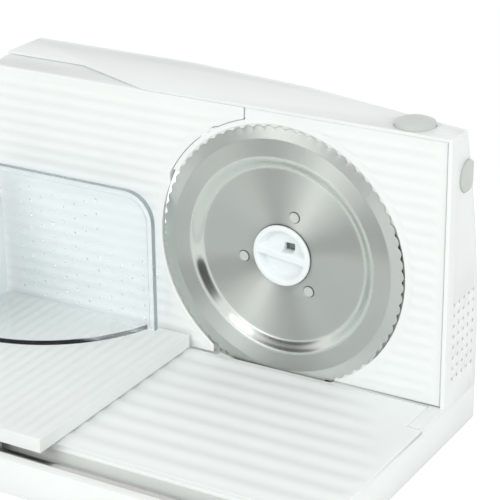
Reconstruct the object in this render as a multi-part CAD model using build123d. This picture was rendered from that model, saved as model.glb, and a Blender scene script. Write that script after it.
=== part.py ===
from build123d import *
from math import asin, atan, cos, degrees, hypot, pi, radians, sin, sqrt, tan
import os

# An electric food slicer for the kitchen table. X runs along the blade, towards the motor tower. Y runs
# from the person slicing towards the back, Z is up, and all sizes are in millimetres. The pieces are
# drawn about the blade: X and Y from its centre, on the plane of its cutting edge, and Z from the table
# that the slicer stands on. At the end they move so that the origin is under the middle of the slicer.

# Overall sizes; the deck carries the blade, and the blade carries the housing's top
blade_radius = 85.0
base_top = 27.0
blade_sink = 5.0
blade_crown = 10.5
blade_height = base_top + blade_radius - blade_sink
housing_height = blade_height + blade_radius + blade_crown
tower_reach = 114.0
left_reach = 221.0
front_reach = 176.0
housing_depth = 60.0
wall = 2.5
seam_gap = 0.3
running_gap = 0.1
moving_gap = 0.4
cut_overrun = 1.0
screw_radius = 1.5
screw_head_radius = 2.9
screw_head_height = 2.0

# Base, feet and lower table
foot_height = 4.0
foot_radius = 10.0
foot_plug_radius = 4.0
foot_inset = 22.0
bottom_plate_thickness = 2.0
base_boss_radius = 5.0
table_thickness = 3.0
table_rib_pitch = 17.5
table_rib_rise = 0.8
table_back_gap = 1.6
table_front = 150.0
arm_width = 9.5
arm_reach = 30.0
slide_channel_width = 18.0
slide_channel_depth = 15.5
slide_rod_radius = 4.0
slide_rod_height = 19.5
channel_end = 5.0

# Housing shell
top_wall = 1.8
shell_edge_radius = 1.2
base_edge_radius = 5.0
back_skin = 3.0
back_slant = 0.24
far_back_slant = 0.12
far_back_shift = 14.1
end_depth_bottom = 47.2
end_depth_middle = 40.5
end_depth_top = 20.5
end_bend_rise = 33.0
end_bend_height = base_top + end_bend_rise
end_middle_drop = 77.5
end_middle_height = housing_height - end_middle_drop
plate_travel = 15.0
frame_front = 20.0
pillar_width = 51.0
tower_left = 48.5
window_drop = 18.5
window_top = housing_height - window_drop
top_notch_start = 95.0
top_notch_end = 160.0
top_notch_depth = 25.0
vent_rows = 8
vent_columns = 5
vent_pitch = 7.0
vent_radius = 1.2
vent_front = 11.0
vent_top_drop = 12.0
housing_boss_radius = 4.0
housing_boss_length = 13.0
housing_boss_inset = 10.0
tower_screw_drop = 34.5
tower_screw_height = housing_height - tower_screw_drop

# Front panel and stop plate
panel_joint = 24.5
panel_set_back = 0.8
panel_thickness = 2.5
panel_rim = 3.2
panel_lift = 4.0
panel_bottom = base_top + panel_lift
rib_pitch = 8.15
rib_count = 20
rib_rise = 1.0
rib_margin = 5.5
panel_rib_first = 7.1
plate_rib_first = 4.5
blade_gap = 1.2
land_width = 3.4
well_floor_front = 6.5
well_floor_thickness = 2.0
well_floor_hole = 40.0
guard_width = 2.9
guard_thickness = 2.8
guard_start_angle = 95.0
guard_end_angle = 150.0
plate_thickness = 3.0
plate_blade_gap = 5.2
plate_flange_depth = 28.0
plate_flange_thickness = 2.2
plate_rib_end = 81.0
plate_boss_radius = 6.8
plate_boss_length = 9.0
plate_rim_width = 2.0
plate_rim_depth = 7.0
plate_rim_right = -54.0

# Blade, its knob and its gear
blade_thickness = 1.0
edge_thickness = 0.3
bevel_inner_radius = 77.0
ring_inner_radius = 65.0
disc_radius = 57.0
dish_depth = 4.0
wave_count = 70
wave_depth = 1.1
knob_rim_radius = 20.0
knob_body_radius = 17.2
knob_fit_gap = 0.3
knob_rim_height = 2.4
knob_body_depth = 7.0
knob_pocket_radius = 15.0
knob_pocket_depth = 6.0
knob_bar_width = 5.0
knob_hole_radius = 2.2
knob_hole_offset = 9.0
rivet_circle_radius = 28.0
rivet_count = 3
rivet_first_angle = 72.0
rivet_head_radius = 3.3
rivet_shank_radius = 1.8
rivet_head_height = 0.7
gear_module = 1.25
gear_teeth = 60
gear_width = 7.0
gear_middle = 28.0
gear_flange_radius = 32.0
gear_flange_thickness = 3.5
gear_neck_radius = 20.5
gear_hub_radius = 14.0
gear_web_thickness = 3.5
gear_rim_thickness = 4.5
gear_back = 33.0
bush_thickness = 2.0
bush_front = 13.5
axle_radius = 5.0
axle_head_radius = 8.0
axle_head_height = 3.0
washer_radius = 9.0
washer_thickness = 2.6

# Worm, motor and the frame that holds them
pressure_angle = 20.0
tooth_half_width = 0.85
tooth_addendum = 1.1
tooth_dedendum = 1.6
worm_pitch_radius = 6.0
worm_core_radius = 4.5
worm_root_sink = 0.15
mesh_clearance = 0.1
worm_length = 24.0
worm_collar = 3.0
shaft_radius = 2.5
shaft_left = 25.0
shaft_right = 104.0
motor_left = 36.0
motor_length = 52.0
motor_radius = 19.0
motor_can_wall = 1.5
magnet_thickness = 2.4
magnet_gap = 0.5
magnet_length = 38.0
magnet_split = 14.0
rotor_radius = 14.0
rotor_length = 36.0
rotor_slots = 7
rotor_slot_width = 2.2
rotor_slot_depth = 5.0
commutator_radius = 6.0
commutator_length = 8.0
brush_size = 4.0
brush_length = 7.0
end_cap_thickness = 5.0
motor_bush_radius = 4.0
motor_bush_length = 5.0
fan_radius = 16.5
fan_width = 8.0
fan_hub_radius = 5.0
fan_blades = 7
fan_blade_thickness = 1.2
frame_plate_front = 36.0
frame_plate_thickness = 4.0
frame_right = 32.0
bearing_block_left = 24.0
bearing_block_width = 6.0
bearing_block_half = 8.5
motor_screw_circle = 12.5
motor_bracket_half = 22.0

# Thickness dial, its cam and the rods of the stop plate
dial_inset = 25.0
dial_x = dial_inset - left_reach
dial_rise = 10.0
dial_height = blade_height + dial_rise
dial_radius = 24.0
dial_height_off_back = 12.5
dial_flutes = 24
dial_flute_radius = 1.6
dial_pitch = 18.0
cam_radius = 10.0
cam_front = 25.0
cam_journal_radius = 5.0
cam_stem_radius = 6.0
cam_groove_width = 4.9
cam_groove_depth = 3.0
cam_run_out_angle = 25.0
pin_radius = 2.0
pin_rest = 30.0
arm_stem_width = 8.0
arm_stem_height = 6.0
arm_clearance = 1.6
rod_radius = 4.0
rod_length = 38.0
rod_spread = 55.0
rod_low_height = dial_height - rod_spread
rod_high_height = dial_height + rod_spread
rod_bush_length = 13.0
rod_bush_thickness = 3.0
rod_tube_thickness = 2.4
slide_frame_thickness = 4.0

# Buttons, switches, circuit board and the cord's bush
top_button_x = 83.3
top_button_y = 14.5
top_button_radius = 12.3
button_gap = 0.3
button_wall = 2.0
button_travel = 3.0
button_flange = 0.9
button_flange_height = 1.5
button_lug_half = 5.0
top_button_skirt = 9.5
top_button_rise = 2.4
top_button_dome = 2.2
button_stem_radius = 2.5
side_button_y = 22.0
side_button_drop = 28.5
side_button_height = housing_height - side_button_drop
side_button_radius = 10.0
side_button_flat = 7.0
side_stem_y = 21.4
side_lug_half = 2.4
side_button_proud = 1.5
side_button_length = 6.5
shelf_drop = 16.5
shelf_height = housing_height - shelf_drop
shelf_front = 6.0
shelf_back = 28.0
shelf_left = 62.0
stop_wall_x = 96.0
stop_wall_back = 30.0
stop_wall_drop = 14.0
stop_wall_bottom = side_button_height - stop_wall_drop
spring_radius = 4.2
spring_wire_radius = 0.45
spring_turns = 7
spring_seat_gap = 0.05
switch_size = (20.0, 6.5, 10.3)
switch_gap = 3.2
switch_post_width = 4.0
board_size = (38.0, 1.6, 40.0)
board_x = 62.0
board_rise = 8.0
board_bottom = blade_height + board_rise
bracket_size = (56.0, 2.4, 20.0)
bracket_left = 20.0
bracket_rise = 10.0
bracket_bottom = board_bottom + bracket_rise
capacitor_radius = 5.0
capacitor_length = 14.0
cord_bush_x = 60.0
cord_bush_rise = 18.0
cord_bush_height = base_top + cord_bush_rise
cord_bush_radius = 6.0
cord_bush_flange = 8.5
cord_bush_hole = 3.4
cord_bush_proud = 8.0

# Carriage and pusher
carriage_left = 213.0
carriage_right = 66.0
carriage_front = 166.0
carriage_back = 2.2
carriage_height = 10.0
carriage_deck = 3.0
carriage_skirt = 3.0
carriage_rib_pitch = 8.0
carriage_rib_rise = 0.8
carriage_travel = 150.0
fence_thickness = 3.5
fence_height = 76.0
fence_front = 148.0
fence_back = 8.0
runner_length = 60.0
runner_half_width = 5.0
runner_height = 13.0
runner_left = 162.0
pusher_right = 87.0
pusher_gap = 7.2
pusher_thickness = 3.0
pusher_height = 94.0
pusher_corner_radius = 20.0
pusher_rim_width = 3.6
pusher_rim_rise = 1.0
pusher_travel = 60.0
foot_plate_thickness = 3.2
foot_arc_radius = 100.0
foot_arc_x = -187.0
foot_arc_y = 24.0
saddle_depth = 62.0
saddle_thickness = 3.0
saddle_lip = 12.0
spike_radius = 0.9
spike_height = 1.5
spike_column_pitch = 8.8
spike_row_pitch = 10.0
spike_low = 6.0
spike_full_columns_end = 130.0
spike_right = 96.0
grip_height = 20.0
grip_width = 9.0
grip_length = 46.0
grip_edge_radius = 3.5

# Places that follow from the sizes
table_top = base_top + table_thickness
worm_height = blade_height - gear_module * gear_teeth / 2 - worm_pitch_radius - mesh_clearance
shell_back = housing_depth - back_skin
inner_left = wall - left_reach
inner_right = tower_reach - wall
inner_top = housing_height - top_wall
slide_channel_front = front_reach - (carriage_front - table_front) / 2 + seam_gap
slide_rod_y = -(carriage_front - runner_half_width)
right_reach = tower_reach + side_button_proud
back_reach = housing_depth + dial_height_off_back + seam_gap
plate_arch_top = blade_height + sqrt((blade_radius + plate_blade_gap) ** 2 - tower_left ** 2) - moving_gap
rod_bush_front = plate_thickness + plate_boss_length + plate_travel + moving_gap
origin_x = (left_reach - right_reach) / 2
origin_y = (front_reach - back_reach) / 2


def block(x, y, z):
    """A box between two X, two Y and two Z values."""
    place = Pos((x[0] + x[1]) / 2, (y[0] + y[1]) / 2, (z[0] + z[1]) / 2)
    return place * Box(x[1] - x[0], y[1] - y[0], z[1] - z[0])


def rod_x(radius, x, y, z):
    """A cylinder along X between two X values, about the line at y and z."""
    return Pos((x[0] + x[1]) / 2, y, z) * Rot(0, 90, 0) * Cylinder(radius, x[1] - x[0])


def rod_y(radius, y, x=0, z=blade_height):
    """A cylinder along Y between two Y values, about the line at x and z, at first the blade's axis."""
    return Pos(x, (y[0] + y[1]) / 2, z) * Rot(90, 0, 0) * Cylinder(radius, y[1] - y[0])


def rod_z(radius, z, x, y):
    """A cylinder along Z between two Z values, about the line at x and y."""
    return Pos(x, y, (z[0] + z[1]) / 2) * Cylinder(radius, z[1] - z[0])


def at_angle(radius, angle):
    """X and Z of a point on a circle about the blade's axis, its angle in degrees from +X towards +Z."""
    return radius * cos(radians(angle)), blade_height + radius * sin(radians(angle))


def rib_along_x(x, y_face, z, rise, half_height):
    """A low rounded rib along X on a face that looks towards -Y, thickest at the height z."""
    foot = y_face + rise / 2
    section = make_face([
        ThreePointArc((x[0], foot, z - half_height), (x[0], y_face - rise, z), (x[0], foot, z + half_height)),
        Line((x[0], foot, z + half_height), (x[0], foot, z - half_height)),
    ])
    return extrude(section, amount=x[1] - x[0], dir=(1, 0, 0))


def rib_on_top(start, end, across, z_face, rise, half_width, along_x):
    """A low rounded rib on a face that looks up, along X or along Y."""
    foot = z_face - rise / 2
    places = []
    for side, height in ((-half_width, foot), (0, z_face + rise), (half_width, foot)):
        places.append((start, across + side, height) if along_x else (across + side, start, height))
    section = make_face([ThreePointArc(*places), Line(places[2], places[0])])
    way = (1, 0, 0) if along_x else (0, 1, 0)
    return extrude(section, amount=end - start, dir=way)


def back_profile(inset_y):
    """The tower's end face in the plane X = 0: straight at first, then leaning forwards to the top."""
    top = housing_height
    low = foot_height
    front = -front_reach * 2
    return make_face([
        Line((0, front, low), (0, end_depth_bottom - inset_y, low)),
        Line((0, end_depth_bottom - inset_y, low), (0, end_depth_bottom - inset_y, end_bend_height)),
        ThreePointArc(
            (0, end_depth_bottom - inset_y, end_bend_height),
            (0, end_depth_middle - inset_y, end_middle_height),
            (0, end_depth_top - inset_y, top),
        ),
        Line((0, end_depth_top - inset_y, top), (0, front, top)),
        Line((0, front, top), (0, front, low)),
    ])


def leaning_form(inset_back):
    """The end face's profile carried to the left, where it goes deeper, steeply at first and then less."""
    forms = []
    for slant, shift in ((back_slant, 0), (far_back_slant, far_back_shift)):
        length = (tower_reach + left_reach + cut_overrun) * hypot(1, slant)
        form = extrude(back_profile(inset_back), amount=length, dir=(-1, slant, 0))
        forms.append(Pos(tower_reach, shift, 0) * form)
    return forms[0] & forms[1]


def housing_form(inset_back):
    """The housing's outer form: a box whose back leans forwards and gets shallower to the right."""
    leaning = leaning_form(inset_back)
    box = block((-left_reach, tower_reach), (0, housing_depth - inset_back), (base_top, housing_height))
    box = fillet(box.edges().filter_by(Axis.Y).group_by(Axis.Z)[-1], shell_edge_radius)
    return box & leaning


def top_button_bore(radius):
    return rod_z(radius, (shelf_height + wall + cut_overrun, housing_height + cut_overrun), top_button_x,
                 top_button_y)


def side_button_outline(grow, x):
    """The side button's D shape, round to the front and flat at the back edge, between two X values."""
    radius = side_button_radius + grow
    disc = rod_x(radius, x, side_button_y, side_button_height)
    keep = block(x, (side_button_y - radius - cut_overrun, side_button_y + side_button_flat + grow),
                 (side_button_height - radius - cut_overrun, side_button_height + radius + cut_overrun))
    return disc & keep


def housing_screw_places():
    """X and Z of the screws that hold the back cover, where its back is flat."""
    low = base_top + housing_boss_inset
    high = housing_height - housing_boss_inset
    left = housing_boss_inset - left_reach
    tower = housing_boss_inset - tower_left
    return [(left, low), (left, high), (tower, low), (tower, tower_screw_height), (tower_left, low)]


def main_housing():
    """Top, ends and floor in one shell, with the walls round the window where slices leave."""
    shell = housing_form(back_skin)
    shell -= block((inner_left, inner_right), (-cut_overrun, housing_depth), (base_top + wall, inner_top))
    pillar_right = pillar_width - left_reach
    back = shell_back
    parts = [
        block((pillar_right, pillar_right + wall), (frame_front, back), (base_top, window_top + wall)),
        block((pillar_right, wall - tower_left), (frame_front, back), (window_top, window_top + wall)),
        block((-tower_left, wall - tower_left), (well_floor_front + well_floor_thickness + seam_gap, back),
              (base_top, plate_arch_top)),
        block((-tower_left, -panel_joint), (frame_front, frame_front + wall), (window_top, inner_top)),
        block((-tower_left, wall - tower_left), (frame_front, back), (plate_arch_top - wall, inner_top)),
        block((shelf_left, inner_right), (shelf_front, shelf_back), (shelf_height, shelf_height + wall)),
        block((stop_wall_x, stop_wall_x + wall), (shelf_front, stop_wall_back),
              (stop_wall_bottom, shelf_height)),
        block((inner_right - cut_overrun, inner_right), (shelf_front, shelf_back),
              (stop_wall_bottom, shelf_height)),
    ]
    for x, z in housing_screw_places():
        parts.append(rod_y(housing_boss_radius, (back - housing_boss_length, back), x, z))
        side = inner_left if x < -tower_left else -tower_left
        if x < 0:
            low = z - housing_boss_radius / 2
            parts.append(block((side, x), (back - housing_boss_length, back), (low, low + wall)))
        else:
            parts.append(block((x - wall / 2, x + wall / 2), (back - housing_boss_length, back),
                               (base_top, z)))
    shell = shell.fuse(*parts) & housing_form(back_skin)
    shell -= rod_y(blade_radius + blade_gap, (-cut_overrun, well_floor_front + well_floor_thickness))
    arm = block((tower_reach - arm_width, tower_reach), (-arm_reach, panel_set_back),
                (base_top, table_top))
    shell = shell + arm
    # The left end stands back, so that the stop plate can move behind its front
    shell -= block((-left_reach - cut_overrun, -tower_left), (-cut_overrun, frame_front - seam_gap),
                   (base_top - cut_overrun, inner_top))
    shell -= block((-left_reach - cut_overrun, wall - tower_left), (-cut_overrun, well_floor_front),
                   (base_top - cut_overrun, panel_bottom))
    notch = make_face(Polyline(
        (-top_notch_start, -cut_overrun, inner_top - cut_overrun),
        (-top_notch_end, top_notch_depth, inner_top - cut_overrun),
        (-left_reach - cut_overrun, top_notch_depth, inner_top - cut_overrun),
        (-left_reach - cut_overrun, -cut_overrun, inner_top - cut_overrun),
        close=True,
    ))
    shell -= extrude(notch, amount=top_wall + cut_overrun * 2, dir=(0, 0, 1))
    shell -= top_button_bore(top_button_radius + button_gap)
    shell -= side_button_outline(button_gap, (inner_right - cut_overrun * 2, tower_reach + cut_overrun))
    stem_bore = button_stem_radius + moving_gap
    shell -= rod_z(stem_bore, (shelf_height - cut_overrun, shelf_height + wall + cut_overrun),
                   top_button_x, top_button_y)
    shell -= rod_x(stem_bore, (stop_wall_x - cut_overrun, stop_wall_x + wall + cut_overrun),
                   side_stem_y, side_button_height)
    vents = []
    for row in range(vent_rows):
        for column in range(vent_columns):
            y = vent_front + vent_pitch * column
            z = blade_height - vent_top_drop - vent_pitch * row
            vents.append(rod_x(vent_radius, (inner_right - cut_overrun, tower_reach + cut_overrun), y, z))
    shell = shell.cut(*vents)
    screws = []
    for x, z in housing_screw_places():
        screws.append(rod_y(screw_radius + running_gap, (back - housing_boss_length + wall, back + cut_overrun),
                            x, z))
    return shell.cut(*screws)


def rear_cover():
    """The skin over the sloping back, with the window cut through it."""
    cover = housing_form(0) - housing_form(back_skin)
    cover = cover & block((-left_reach, tower_reach), (wall, housing_depth), (base_top, housing_height))
    pillar_right = pillar_width - left_reach + wall
    cover -= block((pillar_right, -tower_left), (0, housing_depth + cut_overrun),
                   (base_top + wall, window_top))
    cover -= top_button_bore(top_button_radius + button_gap)
    inner = tower_reach + side_button_proud - side_button_length - button_travel - moving_gap
    cover -= side_button_outline(button_gap, (inner, tower_reach + cut_overrun))
    cover -= rod_y(cam_stem_radius + moving_gap, (shell_back - cut_overrun, housing_depth + cut_overrun),
                   dial_x, dial_height)
    cover -= rod_y(cord_bush_radius + running_gap, (frame_plate_front, housing_depth + cut_overrun),
                   cord_bush_x, cord_bush_height)
    for x, z in housing_screw_places():
        cover -= rod_y(screw_radius + running_gap, (shell_back - cut_overrun, housing_depth + cut_overrun),
                       x, z)
        cover -= rod_y(screw_head_radius + running_gap,
                       (housing_depth - screw_head_height, housing_depth + cut_overrun), x, z)
    return keep_largest(cover)


def keep_largest(shape):
    """The largest solid of a shape, which drops slivers that a thin skin leaves."""
    return sorted(shape.solids(), key=lambda solid: solid.volume)[-1]


def housing_screws():
    screws = []
    for x, z in housing_screw_places():
        head = rod_y(screw_head_radius, (housing_depth - screw_head_height, housing_depth), x, z)
        shank = rod_y(screw_radius, (shell_back - housing_boss_length + wall * 2,
                                     housing_depth - screw_head_height), x, z)
        slot = block((x - screw_head_radius, x + screw_head_radius),
                     (housing_depth - screw_head_height / 2, housing_depth),
                     (z - screw_head_height / 4, z + screw_head_height / 4))
        screws.append(head + shank - slot)
    return Compound(children=screws)


def front_panel():
    """The ribbed front of the motor tower, with the round well that the blade turns in."""
    front = panel_set_back
    back = front + panel_thickness
    floor_back = well_floor_front + well_floor_thickness
    hole_radius = blade_radius + blade_gap
    left = -panel_joint + seam_gap
    right = tower_reach - panel_rim
    top = inner_top - seam_gap
    plate = block((left, right), (front, back), (panel_bottom, top))
    ribs = []
    for index in range(rib_count):
        z = panel_bottom + panel_rib_first + rib_pitch * index
        ribs.append(rib_along_x((left + rib_margin / 2, right - rib_margin), front, z, rib_rise,
                                rib_pitch / 2 - seam_gap))
    ribs = Compound(children=ribs) - rod_y(hole_radius + land_width, (-rib_pitch, back))
    plate = plate.fuse(*ribs.solids())
    plate -= rod_y(hole_radius, (-rib_pitch, back + cut_overrun))
    skirt_low = housing_height + top_button_rise - top_button_skirt - button_travel - moving_gap
    plate -= rod_z(top_button_radius + moving_gap, (skirt_low, housing_height), top_button_x, top_button_y)
    well = rod_y(hole_radius + wall, (front, floor_back)) - rod_y(hole_radius, (front - cut_overrun,
                                                                             well_floor_front))
    well -= rod_y(well_floor_hole, (front, floor_back + cut_overrun))
    keep = block((wall - tower_left, right), (front, floor_back), (panel_bottom, top))
    well = well & keep
    lip = rod_y(hole_radius + guard_width, (front, front + guard_thickness))
    lip -= rod_y(hole_radius, (front - cut_overrun, front + guard_thickness + cut_overrun))
    lip = lip & guard_wedge(front - cut_overrun, front + guard_thickness + cut_overrun)
    return plate + well + lip


def guard_wedge(front, back):
    """The wedge of a ring about the blade that the guard's arc keeps."""
    reach = blade_radius * 2
    middle = (guard_start_angle + guard_end_angle) / 2
    centre = at_angle(0, 0)
    corners = [at_angle(reach, angle) for angle in (guard_start_angle, middle, guard_end_angle)]
    points = [(x, front, z) for x, z in [centre] + corners]
    return extrude(make_face(Polyline(*points, close=True)), amount=back - front, dir=(0, 1, 0))


def stop_plate():
    """The ribbed plate that food rests against; it moves back to set how thick a slice is."""
    left = seam_gap - left_reach
    right = -panel_joint - seam_gap
    top = inner_top - seam_gap
    plate = block((left, right), (0, plate_thickness), (panel_bottom, top))
    inside = inner_left + moving_gap
    flange = block((inside, rib_pitch - top_notch_start), (0, plate_flange_depth),
                   (top - plate_flange_thickness, top))
    side = block((inside, inside + plate_flange_thickness), (0, plate_flange_depth), (panel_bottom, top))
    ribs = []
    for index in range(rib_count):
        z = panel_bottom + plate_rib_first + rib_pitch * index
        end = -plate_rib_end if z < blade_height else right - rib_margin / 2
        ribs.append(rib_along_x((left + rib_margin / 2, end), 0, z, rib_rise, rib_pitch / 2 - seam_gap))
    hole_radius = blade_radius + plate_blade_gap
    ribs = Compound(children=ribs) - rod_y(hole_radius + land_width, (-rib_pitch, plate_thickness))
    rim = rod_y(hole_radius + plate_rim_width, (plate_thickness, plate_thickness + plate_rim_depth))
    rim = rim & block((left, plate_rim_right), (plate_thickness, plate_thickness + plate_rim_depth),
                      (panel_bottom, top))
    plate = plate.fuse(flange, side, rim, *ribs.solids())
    plate -= rod_y(hole_radius, (-rib_pitch, housing_depth))
    for z in (rod_low_height, rod_high_height):
        boss = rod_y(plate_boss_radius, (plate_thickness, plate_thickness + plate_boss_length), dial_x, z)
        plate = plate + boss
        plate -= rod_y(rod_radius + running_gap, (plate_thickness, plate_thickness + rod_length), dial_x, z)
    return plate


def guide_rods():
    rods = []
    for z in (rod_low_height, rod_high_height):
        rods.append(rod_y(rod_radius, (plate_thickness, plate_thickness + rod_length), dial_x, z))
    return Compound(children=rods)


def guide_bushes():
    bushes = []
    outer = rod_radius + running_gap + rod_bush_thickness
    for z in (rod_low_height, rod_high_height):
        bush = rod_y(outer, (rod_bush_front, rod_bush_front + rod_bush_length), dial_x, z)
        bush -= rod_y(rod_radius + running_gap, (0, housing_depth), dial_x, z)
        bushes.append(bush)
    return Compound(children=bushes)


def slide_frame():
    """The inner wall of the left pillar, which carries the rods' bushes and the cam's front end."""
    back = frame_front + slide_frame_thickness
    right = pillar_width - left_reach
    top = inner_top - seam_gap - plate_flange_thickness - moving_gap
    left = inner_left + moving_gap * 2 + plate_flange_thickness
    frame = block((left, right), (frame_front, back), (base_top + wall, top))
    hole = rod_radius + running_gap + rod_bush_thickness + running_gap
    for z in (rod_low_height, rod_high_height):
        frame += rod_y(hole + rod_tube_thickness, (frame_front, rod_bush_front + rod_bush_length), dial_x, z)
    for z in (rod_low_height, rod_high_height):
        frame -= rod_y(hole, (0, housing_depth), dial_x, z)
    frame -= rod_y(cam_journal_radius + running_gap, (0, housing_depth), dial_x, dial_height)
    stem = arm_stem_box(moving_gap)
    return frame - stem


def arm_stem_box(grow):
    """The follower arm's stem above the cam, or with grow the slot that it passes through."""
    low = dial_height + cam_radius + arm_clearance
    half = arm_stem_width / 2
    return block((dial_x - half - grow, dial_x + half + grow),
                 (plate_thickness, pin_rest + arm_stem_width / 2),
                 (low - grow, low + arm_stem_height + grow))


def cam_follower():
    """The arm fixed to the back of the stop plate, whose pin runs in the cam's groove."""
    stem = arm_stem_box(0)
    foot = block((dial_x - arm_stem_width, dial_x + arm_stem_width),
                 (plate_thickness, frame_front - plate_travel - moving_gap),
                 (dial_height, dial_height + cam_radius * 2 + arm_clearance))
    low = dial_height + cam_radius + arm_clearance
    pin = rod_z(pin_radius, (dial_height + cam_radius - cam_groove_depth + moving_gap, low + wall),
                dial_x, pin_rest)
    return stem + foot + pin


def dial_cam():
    """A drum on the dial's shaft with a helical groove; a turn of it moves the plate by one pitch."""
    back = shell_back - moving_gap
    drum = rod_y(cam_radius, (cam_front, back), dial_x, dial_height)
    drum += rod_y(cam_journal_radius, (frame_front, cam_front), dial_x, dial_height)
    drum += rod_y(cam_stem_radius, (back, housing_depth + seam_gap), dial_x, dial_height)
    run_out = dial_pitch * cam_run_out_angle / 360
    middle_radius = cam_radius - cam_groove_depth / 2 + cut_overrun / 2
    half_depth = cam_groove_depth / 2 + cut_overrun / 2
    half_width = cam_groove_width / 2 / cos(atan(dial_pitch / (2 * pi * middle_radius)))
    path = Helix(pitch=dial_pitch, height=plate_travel + run_out * 2, radius=middle_radius)
    section = make_face(Polyline(
        (middle_radius - half_depth, 0, -half_width),
        (middle_radius + half_depth, 0, -half_width),
        (middle_radius + half_depth, 0, half_width),
        (middle_radius - half_depth, 0, half_width),
        close=True,
    ))
    groove = sweep(section, path=path, is_frenet=True)
    groove = Pos(0, 0, -run_out) * Rot(0, 0, -cam_run_out_angle) * groove
    seat = Plane(origin=(dial_x, pin_rest, dial_height), x_dir=(0, 0, 1), z_dir=(0, 1, 0))
    drum -= seat.location * groove
    return drum - dial_screw_bore()


def dial_screw_bore():
    return rod_y(screw_radius + running_gap, (shell_back - housing_boss_length, back_reach + cut_overrun),
                 dial_x, dial_height)


def thickness_dial():
    """The fluted knob at the back of the left pillar."""
    front = housing_depth + seam_gap
    knob = rod_y(dial_radius, (front, back_reach), dial_x, dial_height)
    edge = knob.edges().filter_by(GeomType.CIRCLE).group_by(Axis.Y)[-1]
    knob = chamfer(edge, dial_flute_radius)
    flutes = []
    for index in range(dial_flutes):
        angle = 2 * pi * index / dial_flutes
        flutes.append(rod_y(dial_flute_radius, (front - cut_overrun, back_reach + cut_overrun),
                            dial_x + dial_radius * cos(angle), dial_height + dial_radius * sin(angle)))
    knob = knob.cut(*flutes)
    knob -= rod_y(screw_head_radius + running_gap, (back_reach - screw_head_height * 2,
                                                    back_reach + cut_overrun), dial_x, dial_height)
    return knob - dial_screw_bore()


def dial_screw():
    head_front = back_reach - screw_head_height * 2
    head = rod_y(screw_head_radius, (head_front, head_front + screw_head_height), dial_x, dial_height)
    shank = rod_y(screw_radius, (shell_back - housing_boss_length + wall, head_front), dial_x, dial_height)
    return head + shank


def base_frame():
    """The tray under everything: deck, side walls, blade trough and the carriage rod's channel."""
    base = block((-left_reach, tower_reach), (-front_reach, housing_depth), (foot_height, base_top))
    base = fillet(base.edges().filter_by(Axis.Z).group_by(Axis.Y)[0], base_edge_radius)
    base = base & leaning_form(0)
    channel_back = slide_rod_y + slide_channel_width / 2
    channel_front = slide_rod_y - slide_channel_width / 2
    channel_floor = base_top - slide_channel_depth
    # The hollow behind the channel, open below
    base -= block((inner_left, inner_right), (channel_back + wall, end_depth_bottom - wall),
                  (0, base_top - wall))
    base -= block((inner_left, inner_right), (wall - front_reach, channel_back + wall + cut_overrun),
                  (0, channel_floor - wall))
    trough_back = well_floor_front + well_floor_thickness + blade_gap
    trough_half = sqrt((blade_radius + blade_gap) ** 2 - (blade_height - base_top) ** 2) + wall * 4
    trough_low = blade_height - blade_radius - blade_gap - wall
    trough = block((-trough_half, trough_half), (-table_back_gap - wall, trough_back + wall),
                   (trough_low, base_top))
    base += trough
    base -= block((channel_end - left_reach, tower_reach - channel_end), (channel_front, channel_back),
                  (channel_floor, base_top + cut_overrun))
    base -= rod_y(blade_radius + blade_gap, (-table_back_gap, trough_back))
    base -= rod_x(slide_rod_radius + running_gap,
                  (slide_rod_left(), tower_reach - wall + running_gap), slide_rod_y, slide_rod_height)
    for x, y in base_screw_places():
        base += rod_z(base_boss_radius, (foot_height + bottom_plate_thickness, base_top - wall), x, y)
    for x, y in base_screw_places():
        base -= rod_z(screw_radius + running_gap, (0, base_top - wall * 2), x, y)
    return base


def slide_rod_left():
    return wall - running_gap - left_reach


def base_screw_places():
    """X and Y of the four screws that hold the bottom plate, beside the feet."""
    inset = foot_inset * 2
    front = slide_rod_y + slide_channel_width / 2 + wall + base_boss_radius * 2
    back = end_depth_bottom - wall - base_boss_radius * 2
    return [(x, y) for x in (inset - left_reach, tower_reach - inset) for y in (front, back)]


def foot_places():
    """X and Y of the four feet."""
    left = foot_inset - left_reach
    right = tower_reach - foot_inset
    front = foot_inset - front_reach
    back = end_depth_bottom - foot_inset
    return [(x, y) for x in (left, right) for y in (front, back)]


def bottom_plate():
    """The flat plate that closes the base from below; feet and screws go through it."""
    gap = wall + seam_gap
    plate = block((gap - left_reach, tower_reach - gap), (gap - front_reach, end_depth_bottom - gap),
                  (foot_height, foot_height + bottom_plate_thickness))
    for x, y in foot_places():
        plate -= rod_z(foot_plug_radius + running_gap, (0, base_top), x, y)
    for x, y in base_screw_places():
        plate -= rod_z(screw_radius + running_gap, (0, base_top), x, y)
    return plate


def base_screws():
    screws = []
    for x, y in base_screw_places():
        head = rod_z(screw_head_radius, (foot_height - screw_head_height, foot_height), x, y)
        shank = rod_z(screw_radius, (foot_height, base_top - wall * 3), x, y)
        screws.append(head + shank)
    return Compound(children=screws)


def feet():
    pads = []
    for x, y in foot_places():
        pad = rod_z(foot_radius, (0, foot_height), x, y)
        pad = chamfer(pad.edges().group_by(Axis.Z)[0], foot_height / 4)
        plug_top = foot_height + bottom_plate_thickness
        pads.append(pad + rod_z(foot_plug_radius, (foot_height - cut_overrun, plug_top), x, y))
    return Compound(children=pads)


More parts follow.
